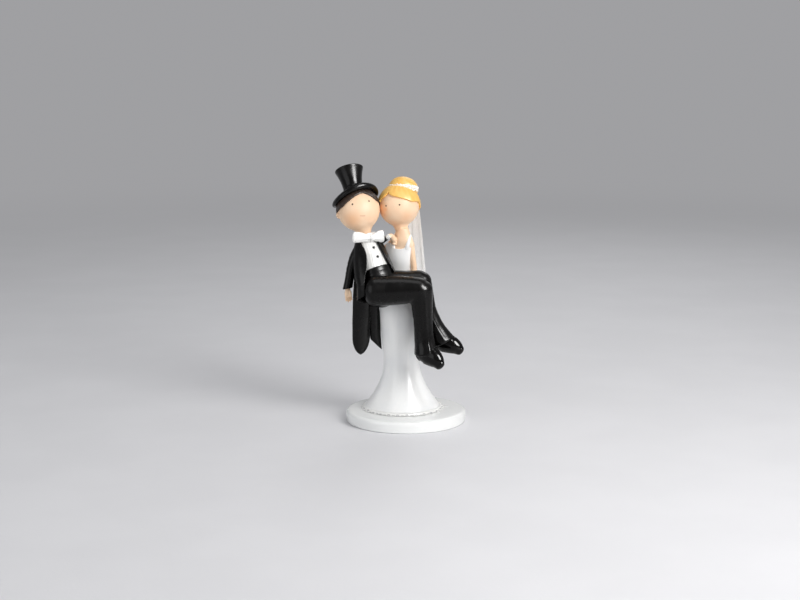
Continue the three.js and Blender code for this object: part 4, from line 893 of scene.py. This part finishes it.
# radius and height, from the foot inside round the outside and back
collarRows = [(4.5, -2.2), (5.7, -2.2), (6.0, 0), (6.35, 2.2), (6.45, 3.3), (6.15, 3.75), (5.6, 3.6), (5.0, 2),
              (4.5, -2.2)]
bm = turned(collarRows, basis(neckAxis, torsoAcross, collarSeat), 64)
piece("wingCollar", bm, linen, ["wing_collar"])

bow = {"right": (13, 3.4), "left": (8.6, 3.8), "half": 1.5, "knot": (1.7, 1.6, 2.3), "down": 1.5, "out": 7.5}
bowAt = collarSeat - neckAxis * bow["down"] + chestOut * bow["out"]


def bowLoop(name, node, way, length, height):
    out = (torsoAcross * way + up * 0.08).normalized()
    tall = (up - out * up.dot(out)).normalized()
    front = out.cross(tall).normalized()
    if front.dot(chestOut) < 0:
        front = -front

    def place(u, v):  # u runs round the loop, v out from the knot
        turn = u * 2 * pi
        swell = mix(0.42, 1, sin(min(v / 0.8, 1) * pi / 2) ** 1.3)
        close = (1 - max(0, (v - 0.86) / 0.14) ** 2.2) ** 0.5
        crease = (0.28 * cos(turn * 3 + 0.6) + 0.14 * cos(turn * 5 + v * 3)) * (1 - v)
        dent = 0.35 * exp(-((sin(turn) * height * swell) / 0.8) ** 2) * (1 - v) * (cos(turn) > 0)
        depth = bow["half"] * mix(0.62, 1.05, v) + crease - dent
        rise = sin(turn) * height * swell * mix(0.35, 1, close)
        return (bowAt + out * length * (v * 0.985 + 0.015) + tall * rise
                + front * cos(turn) * depth * mix(0.15, 1, close))

    softened(piece(name, sealed(grid(56, 30, place)), linen, [node]))


bowLoop("bowRightLoop", "bow_right_loop", -1, *bow["right"])
bowLoop("bowLeftLoop", "bow_left_loop", 1, *bow["left"])
bm = bmesh.new()
axes = [way * half for way, half in zip((torsoAcross, chestOut, neckAxis), bow["knot"])]
pebble(bm, *axes, bowAt + chestOut * 0.25, 32, 20)
for v in bm.verts:  # pulled creases down the knot
    v.co += chestOut * 0.12 * cos((v.co - bowAt).dot(torsoAcross) * 5.2)
piece("bowKnot", bm, linen, ["bow_knot"])
print("groom's head made")


# Groom: shirt, cummerbund and coat

# share of the height, half width, half depth, how far the coat fills out to the side
torsoRows = [(0, 8.3, 6.7, 1), (0.25, 8.3, 6.7, 0.85), (0.6, 8.2, 6.5, 0.42), (0.84, 7.4, 4.9, 0.05),
             (1, 4.9, 4.4, 0)]
shoulderHalf = 7.4


def torsoPoint(share, angle, grow=0, aside=0):
    wide, deep, full = byShare(torsoRows, share)
    turn = radians(angle)
    centre = hips + torsoAxis * groomTrunk * share - torsoAcross * aside * full
    return (centre + torsoAcross * cos(turn) * (wide + aside * full + grow)
            + chestOut * sin(turn) * (deep + grow))


shirt = {"placket": 1.35, "placketAt": 0.4, "proud": 0.28, "pleat": 0.05, "pleatWidth": 1.5, "plain": 2}


def shirtPoint(u, v):
    angle, share = u * 360, mix(0.0, 1.02, v)
    beside = (torsoPoint(share, angle) - hips).dot(torsoAcross)
    proud = 0
    if 0 < angle < 180:
        proud = shirt["proud"] * clamp((shirt["placket"] + 0.1 - abs(beside - shirt["placketAt"])) / 0.2)
        past = abs(beside) - shirt["plain"]
        if past > 0:
            proud += shirt["pleat"] * cos(beside * 2 * pi / shirt["pleatWidth"]) * clamp(past)
    return torsoPoint(share, angle, proud - 0.02)


piece("pleatedShirt", sealed(grid(240, 40, shirtPoint), 0.005), linen, ["shirt_front"])

studs = {"below": 7.4, "spacing": 6.6, "radius": 0.85}
profile = rounded([(0, -0.3), (studs["radius"], -0.3), (studs["radius"], 0.55, 0.3), (0, 0.85)], 6)
for i, name in enumerate(("Upper", "Lower")):
    centre = torsoPoint(1 - (studs["below"] + i * studs["spacing"]) / groomTrunk, 88)
    bm = turned(profile, basis(chestOut, torsoAcross, centre), 24)
    piece("shirtStud" + name, bm, shoeLacquer, [name.lower() + "_shirt_stud"])

sash = {"height": 11.2, "proud": 1.2, "slope": 11, "pleats": 4, "pleat": 0.1}


def sashPoint(u, v):
    angle = u * 360
    beside = (torsoPoint(0.3, angle) - hips).dot(torsoAcross)
    share = mix(-0.04, (sash["height"] + tan(radians(sash["slope"])) * beside) / groomTrunk, v)
    pleat = abs(sin(v * pi * sash["pleats"])) ** 0.4
    proud = (sash["proud"] + sash["pleat"] * pleat) * clamp((1 - v) / 0.02)
    return torsoPoint(max(share, 0), angle, proud) - torsoAxis * groomTrunk * max(-share, 0)


sashLacquer = blackLacquer("sashLacquer", 0.29, 0.25)
piece("satinCummerbund", sealed(grid(96, 56, sashPoint), 0.005), sashLacquer, ["cummerbund"])

# the front edges: share of the height, and how far from the middle of his chest
coat = {"cloth": 1.3, "wall": 1.1, "fullness": 2.6, "leftSwell": 1.7,
        "frontHem": 0.1, "sideHem": -0.22, "sweep": -0.03,
        "right": [(0, 12.8), (0.08, 12.1), (0.16, 11.2), (0.26, 9.8), (0.36, 8.6), (0.48, 7.5), (0.6, 6.6),
                  (0.72, 6.1), (0.84, 6.3), (1, 6.2)],
        "left": [(0, 8.4), (0.16, 7.9), (0.26, 7.1), (0.36, 6.3), (0.48, 5.2), (0.6, 4.3), (0.72, 3.8),
                 (0.84, 3.6), (1, 3.2)]}


def coatEdge(side, share):
    rows = coat[side]
    at, local = rowAt(rows, share)
    return mix(rows[at][1], rows[at + 1][1], local)


def coatAngles(share, wider=0):
    wide, deep, full = byShare(torsoRows, share)
    aside = coat["fullness"] * full
    reach = wide + aside + coat["cloth"]
    right = degrees(acos(clamp((-coatEdge("right", share) - wider + aside) / reach, -0.995, 1)))
    left = degrees(acos(clamp((coatEdge("left", share) + wider + aside) / reach, -1, 0.995)))
    return right, left


def coatSurface(share, angle, proud=0):  # fuller on the side that leans on her
    swell = coat["leftSwell"] * max(cos(radians(angle)), 0) ** 2 * clamp(1 - share / 0.55)
    return torsoPoint(share, angle, coat["cloth"] + proud + swell, coat["fullness"])


def coatPoint(u, v):  # the hem runs from his right side to the top of the tails, and rises in front on the left
    rise = clamp((u - 0.5) / 0.5) ** 2
    sweep = coat["sideHem"] + coat["sweep"] * sin(pi * clamp(u / 0.55)) ** 1.2
    share = mix(mix(sweep, coat["frontHem"], rise), 1.0, v)
    low = max(share, mix(0.02, coat["frontHem"], rise))
    right, left = coatAngles(low)
    return coatSurface(low, mix(right, 360 + left, u)) - up * max(low - share, 0) * groomTrunk


made = piece("tailcoatBody", grid(90, 50, coatPoint), suitLacquer, ["tailcoat_body"])
walled(made, coat["wall"])
eased(made, 0.45)

lapel = {"width": 2.7, "proud": 0.55, "foot": 0.3, "top": 0.985}
for k, side in enumerate(("right", "left")):

    def lapelPoint(u, v):
        share = mix(lapel["foot"], lapel["top"], v)
        width = lapel["width"] * sin(clamp(v * 1.05 + 0.04) * pi / 2) ** 0.8
        angle = mix(coatAngles(share)[k], coatAngles(share, width)[k], u)
        return coatSurface(share, angle, 0.12 + lapel["proud"] * sin(pi * clamp(u)) ** 0.5)

    made = piece(side + "Lapel", grid(12, 44, lapelPoint), suitLacquer, [side + "_lapel"])
    walled(made, 0.4, 1 - 2 * k)

# sleeves and hands
rightShoulder = hips + torsoAxis * groomTrunk * 0.86 - torsoAcross * shoulderHalf * 0.96
rightWay = direction(196, -75)
rightCuff = rightShoulder + rightWay * 26.6
bend = (rightShoulder + rightCuff) / 2 - alongX * 0.9
bm = bmesh.new()
limb(bm, [(rightShoulder + torsoAcross * 1.2, 3.3), (rightShoulder.lerp(bend, 0.5), 3.35, 3.3),
          (bend, 2.85, 2.9), (bend.lerp(rightCuff, 0.6), 2.6, 2.75), (rightCuff, 2.75, 2.9)],
     alongY, 26, 32, (2.7, 0))
for v in bm.verts:  # soft creases at the elbow, and a cuff cut on the slant
    away = (v.co - rightCuff).dot(rightWay)
    v.co -= rightWay * (v.co - rightCuff).x * 0.42 * clamp((away + 6) / 6)
    away = (v.co - bend).dot(rightWay)
    v.co += alongX * 0.16 * sin(away * 1.9 + v.co.y) * exp(-(away / 5) ** 2)
eased(piece("rightSleeve", bm, suitLacquer, ["right_sleeve"]), 0.4, angle=60)

# the fingers' lengths are shares of the hand's
palm = {"size": 2.35, "length": 8.2, "fingers": (0.42, 0.5, 0.47, 0.38)}


def hand(name, node, wrist, way, flat, thumbWay, curl):
    # flat points across the palm, curl is how the fingers bend
    size, length = palm["size"], palm["length"]
    bm = bmesh.new()
    limb(bm, [(wrist - way * 1.8, size * 0.62, size * 0.6),
              (wrist + way * length * 0.1, size * 0.72, size * 0.6),
              (wrist + way * length * 0.34, size, size * 0.62),
              (wrist + way * length * 0.55, size * 0.95, size * 0.56)], flat, 12, 24, (0.5, 0.8))
    for k, share in enumerate(palm["fingers"]):
        root = wrist + way * length * 0.5 + flat * (k - 1.5) * size * 0.46
        aim = (way + flat * (k - 1.5) * 0.05).normalized() * length * share
        limb(bm, [(root, size * 0.27), (root + aim * 0.5 + curl * 0.15, size * 0.27, size * 0.26),
                  (root + aim + curl * 0.9, size * 0.2)], flat, 6, 12, (0.3, 0.4))
    root = wrist + way * length * 0.14 + thumbWay * size * 0.55
    limb(bm, [(root, size * 0.32), (root + way * length * 0.22 + thumbWay * 0.5, size * 0.32),
              (root + way * length * 0.45 + thumbWay * 0.3, size * 0.24)], flat, 6, 12, (0.3, 0.4))
    piece(name, fused(bm, 0.17, 5), bareSkin, [node])


hand("groomRightHand", "right_hand", rightCuff, direction(0, -84), direction(28, 0), direction(-30, 0),
     direction(-70, 0) * 0.5)

leftShoulder = hips + torsoAxis * groomTrunk * 0.88 + torsoAcross * shoulderHalf * 0.8
leftWay = direction(-9, 37)
sleeveEnd = leftShoulder + leftWay * 7.6
cuffEnd = sleeveEnd + leftWay * 2.6
middle = leftShoulder.lerp(sleeveEnd, 0.5)
bm = bmesh.new()
limb(bm, [(leftShoulder - leftWay * 0.5, 1.8), (middle, 1.62), (sleeveEnd, 1.55)], up, 14, 28, (1.5, 0))
eased(piece("leftSleeve", bm, suitLacquer, ["left_sleeve"]), 0.3, angle=60)
profile = rounded([(0, 0), (1.42, 0, 0.2), (1.5, 2.4, 0.3), (0, 2.5)], 4)
bm = turned(profile, basis(leftWay, up, sleeveEnd), 36)
piece("leftShirtCuff", bm, linen, ["left_shirt_cuff"])

fist = neckRoot - brideAcross * 4.0 + brideOut * 4.9 - up * 0.3


def nearFist(aside, out, rise):
    return fist + brideAcross * aside + brideOut * out + up * rise


bm = bmesh.new()
limb(bm, [(cuffEnd - leftWay * 1, 1.15), (cuffEnd.lerp(fist, 0.3) + up * 0.7, 1.5, 1.4),
          (cuffEnd.lerp(fist, 0.7) + up * 0.5, 1.9, 1.7), (fist + up * 0.3, 1.7, 2.0)],
     up, 16, 24, (0.5, 1.0))
for k in range(4):  # the fingers close over her shoulder
    knuckle = nearFist(0.25 * abs(k - 1.5) - 1.3, -0.2, 2.0 - k * 1.3)
    middle = nearFist(0.3, 0.75, 1.9 - k * 1.32)
    tip = nearFist(1.75 - 0.3 * abs(k - 1.3), -0.5, 1.5 - k * 1.32)
    limb(bm, [(knuckle, 0.78), (middle, 0.74), (tip, 0.62)], up, 8, 14, (0.6, 0.6))
limb(bm, [(nearFist(-1.9, 0, 2.6), 0.7), (nearFist(-0.6, 0.4, 2.95), 0.66), (nearFist(0.6, 0, 2.7), 0.52)], up,
     8, 14, (0.5, 0.5))
piece("groomLeftHand", fused(bm, 0.17, 6), bareSkin, ["left_hand"])

# tails, long tongues of stiff cloth behind him: length, half width, place aside, way down, length of the tip
tails = {"right": (63, 5.9, -2.6, direction(150, -88), 10.4), "left": (60.4, 3.7, 2.1, direction(30, -86), 7),
         "thick": 1.35, "fold": 0.35, "start": 0.62, "behind": 7.7}
across = direction(10, 0)
for side in ("right", "left"):
    length, wide, offset, way, tip = tails[side]
    root = hips + torsoAxis * groomTrunk * tails["start"] + torsoAcross * offset
    root += direction(115, 0) * tails["behind"]
    front = way.cross(across).normalized()
    if front.y > 0:
        front = -front

    def tailPoint(u, v):
        past = clamp((v * length - length + tip) / tip)
        close = (1 - past ** 1.75) ** 0.6 if side == "right" else (1 - past) ** 0.9
        full = wide * mix(0.85, 1, clamp(v * 2.6)) * mix(1, 0.94, clamp((v - 0.65) / 0.2))
        c, s = cos(u * 2 * pi), sin(u * 2 * pi)
        x, y = abs(c) ** 0.75 * (1 if c > 0 else -1), abs(s) ** 0.9 * (1 if s > 0 else -1)
        lift = y * tails["thick"] * mix(0.3, 1, close) + 2.2 * (1 - clamp(v * 4)) ** 2
        lift += tails["fold"] * sin(x * 2.2 + v * 2) * sin(min(v * 1.6, 1) * pi / 2)
        beside = x * full * close + (full * (1 - close) if side == "left" else 0)
        return root + way * v * length + across * beside + front * lift

    bm = sealed(grid(48, 60, tailPoint))
    softened(piece(side + "CoatTail", bm, suitLacquer, [side + "_coat_tail"]))
print("coat made")


# Groom: trousers and shoes

# girths are half depths, bend is how far the shin bows back
legStyle = {
    "right": {"aside": -5.3, "lift": 1.5, "thighWay": direction(-2, 2), "shinWay": direction(0, -86), "bend": 0,
              "shin": 40.6, "hip": 9.4, "thigh": 9.2, "lower": 8.5, "knee": 7.4, "hem": 6.8,
              "shoe": (-38, -13), "plump": 1},
    "left": {"aside": 5.3, "lift": 3.8, "thighWay": direction(-2, 5), "shinWay": direction(2, -71), "bend": 2.4,
             "shin": 41, "hip": 8.6, "thigh": 8.1, "lower": 7.2, "knee": 6.8, "hem": 7.9,
             "shoe": (-15, -8), "plump": 0.93}}
trousers = {"thigh": 24.2, "crease": 0.5, "flare": 2.3, "rumple": 0.07, "kneeFold": 0.28}
bm = bmesh.new()
ball(bm, seat, 9.9)
for leg in legStyle.values():
    hip = seat + alongY * leg["aside"] + up * leg["lift"]
    knee = hip + leg["thighWay"] * trousers["thigh"]
    hem = knee + leg["shinWay"] * leg["shin"]
    bend = alongX * leg["bend"]
    middle = (knee + hem) / 2 - bend
    leg["kneeAt"], leg["hemAt"] = knee, hem
    limb(bm, [(hip - leg["thighWay"] * 4.5, 8.3, leg["hip"]), (hip.lerp(knee, 0.3), 8.0, leg["thigh"]),
              (hip.lerp(knee, 0.68), 7.5, leg["lower"]), (knee, leg["knee"])],
         alongY, 22, 32, (6.6, 5))
    limb(bm, [(knee, leg["knee"]), (knee.lerp(middle, 0.5) - bend * 0.15, 6.3, 6.6), (middle, 5.7, 6.0),
              (middle.lerp(hem, 0.55), 5.7, 6.1), (hem, 6.0, leg["hem"])], alongY, 30, 32, (6, 0))
bm = fused(bm, 0.42, 16)
for v in bm.verts:  # pressed creases down the shins, rumples and flared hems
    for leg in legStyle.values():
        knee, hem, shin = leg["kneeAt"], leg["hemAt"], leg["shinWay"]
        down = (v.co - knee).dot(shin)
        if down < 1 or down > 41:
            continue
        share = down / leg["shin"]
        away = v.co - knee.lerp(hem, share) + alongX * leg["bend"] * sin(pi * clamp(share))
        away -= shin * away.dot(shin)
        if away.length > 9:
            continue
        radial = away.normalized()
        facing = radial.dot(Vector((0.35, -0.94, 0)))
        crease = trousers["crease"] * exp((facing - 1) / 0.012) * clamp(down / 8) * clamp((41 - down) / 4)
        flare = trousers["flare"] * clamp((down - 25) / 14) ** 2 * clamp(facing)
        rumple = sin(down * 0.6 + atan2(radial.y, radial.x) * 1.4) * clamp((down - 20) / 10)
        v.co += radial * (crease + flare + trousers["rumple"] * rumple)
for v in bm.verts:  # folds behind the knees
    for leg in legStyle.values():
        away = v.co - leg["kneeAt"] + Vector((5.5, 0, 6.0))
        if away.length < 9:
            fold = sin((away.x - away.z) * 1.1) * trousers["kneeFold"] * exp(-(away.length / 4.5) ** 2)
            v.co += Vector((-0.5, 0, 0.5)) * fold
trouserNodes = ["trouser_seat", "right_trouser_leg", "left_trouser_leg"]
piece("lacquerTrousers", bm, suitLacquer, trouserNodes)

shoe = {"drop": 1.6, "sole": 4.4, "welt": 1.6, "crease": 0.16}
# place along the shoe, half width, half height
last = [(-5.0, 3.0, 3.8), (-3.0, 3.9, 5.4), (0, 4.6, 6.6), (3.4, 4.9, 6.6), (6.8, 4.7, 5.9), (9.6, 4.0, 4.8),
        (11.8, 2.8, 3.4)]
for side, leg in legStyle.items():
    way, across = direction(*leg["shoe"]), direction(leg["shoe"][0] + 90, 0)
    top = way.cross(across).normalized()
    ankle = leg["hemAt"] - up * shoe["drop"]
    plump, sole, welt = leg["plump"], shoe["sole"], shoe["welt"]
    bm = bmesh.new()
    stations = [(ankle + way * reach + top * (tall * plump - sole), wide, tall * plump)
                for reach, wide, tall in last]
    limb(bm, stations, across, 30, 36, (1.2, 2.2))
    for v in bm.verts:
        height = (v.co - ankle).dot(top) + sole
        forward = (v.co - ankle).dot(way)
        if height < welt:  # the sole is flat, and a welt stands out round it
            v.co -= top * (height - mix(0.25, welt, clamp(height / welt) ** 2)) * 0.8
        crease = sin(forward * 2.4) * exp(-((forward - 6.5) / 2) ** 2) * clamp(height / 5)
        v.co += top * shoe["crease"] * crease
    softened(piece(side + "Shoe", bm, shoeLacquer, [side + "_shoe"]))
print("trousers and shoes made")


# Floor, camera and light

room = {"floor": (0.66, 0.66, 0.68), "haze": (0.35, 0.35, 0.362, 1), "sky": (0.93, 0.94, 0.96, 1),
        "skyLight": 0.36, "focus": 1619 / 800, "pitch": 9.76, "eye": (-0.0038, -1.0, 0.249)}
floorPaint = Paint("paleFloor", room["floor"], 0.6)
floorPaint.tint((0.7, 0.7, 0.72), floorPaint.noise(14, 3).ramp(0.35, 0.7) * 0.5)
floorPaint.height = floorPaint.noise(500, 2)
floorMaterial = floorPaint.done(0.05)
fade = floorPaint.seenRays() * floorPaint.vector("LENGTH", floorPaint.place, output="Value").ramp(0.25, 1.6)
haze = floorPaint.node("ShaderNodeEmission", {}, {"Color": room["haze"]})
surface = Wire(floorPaint, floorPaint.shader.outputs["BSDF"])
blend = floorPaint.node("ShaderNodeMixShader", {}, {0: fade, 1: surface, 2: haze})
floorPaint.feed(floorPaint.tree.nodes["Material Output"], "Surface", blend)
bm = bmesh.new()
bmesh.ops.create_grid(bm, x_segments=1, y_segments=1, size=3)
mesh = bpy.data.meshes.new("paleFloor")
bm.to_mesh(mesh)
bm.free()
mesh.materials.append(floorMaterial)
floor = bpy.data.objects.new("paleFloor", mesh)
bpy.context.scene.collection.objects.link(floor)

world = bpy.data.worlds.new("studio")
bpy.context.scene.world = world
world.use_nodes = True
sky = Graph(world.node_tree)
air = sky.tree.nodes["Background"]
sky.feed(air, "Color", room["sky"])
sky.feed(air, "Strength", room["skyLight"])
shown = sky.node("ShaderNodeBackground", {}, {"Color": room["haze"]})
blend = sky.node("ShaderNodeMixShader", {}, {0: sky.seenRays(), 1: Wire(sky, air.outputs[0]), 2: shown})
sky.feed(sky.tree.nodes["World Output"], "Surface", blend)


def softbox(name, heading, rise, distance, size, watts, color):
    lamp = bpy.data.lights.new(name, "AREA")
    lamp.shape = "RECTANGLE"
    lamp.size, lamp.size_y = size
    lamp.energy = watts
    lamp.color = color
    made = bpy.data.objects.new(name, lamp)
    bpy.context.scene.collection.objects.link(made)
    aim = Vector((-0.005, 0, 0.09))
    made.location = aim + direction(heading, rise) * distance
    made.rotation_euler = (made.location - aim).to_track_quat("Z", "Y").to_euler()
    return made


softbox("keyWindow", -47, 30, 0.85, (0.36, 0.5), 5.4, (1, 0.985, 0.97))
gleam = softbox("gleamWindow", -45, 30, 0.84, (0.36, 0.46), 19, (1, 1, 1))
gleam.visible_diffuse = False  # a stronger highlight, which adds no light of its own
softbox("fillSheet", -140, 12, 1.1, (0.8, 0.8), 2.9, (0.98, 0.99, 1))
softbox("topSheet", -80, 78, 1.0, (0.5, 0.5), 1.8, (1, 1, 1))
softbox("backRim", 75, 35, 1.0, (0.5, 0.6), 1.6, (1, 1, 1))

camera = bpy.data.cameras.new("camera")
camera.sensor_width = 36
camera.lens = room["focus"] * camera.sensor_width
camera.clip_start = 0.05
eye = bpy.data.objects.new("camera", camera)
bpy.context.scene.collection.objects.link(eye)
eye.location = room["eye"]
eye.rotation_euler = (radians(90 - room["pitch"]), 0, 0)
bpy.context.scene.camera = eye
bpy.context.scene.view_settings.view_transform = "Standard"
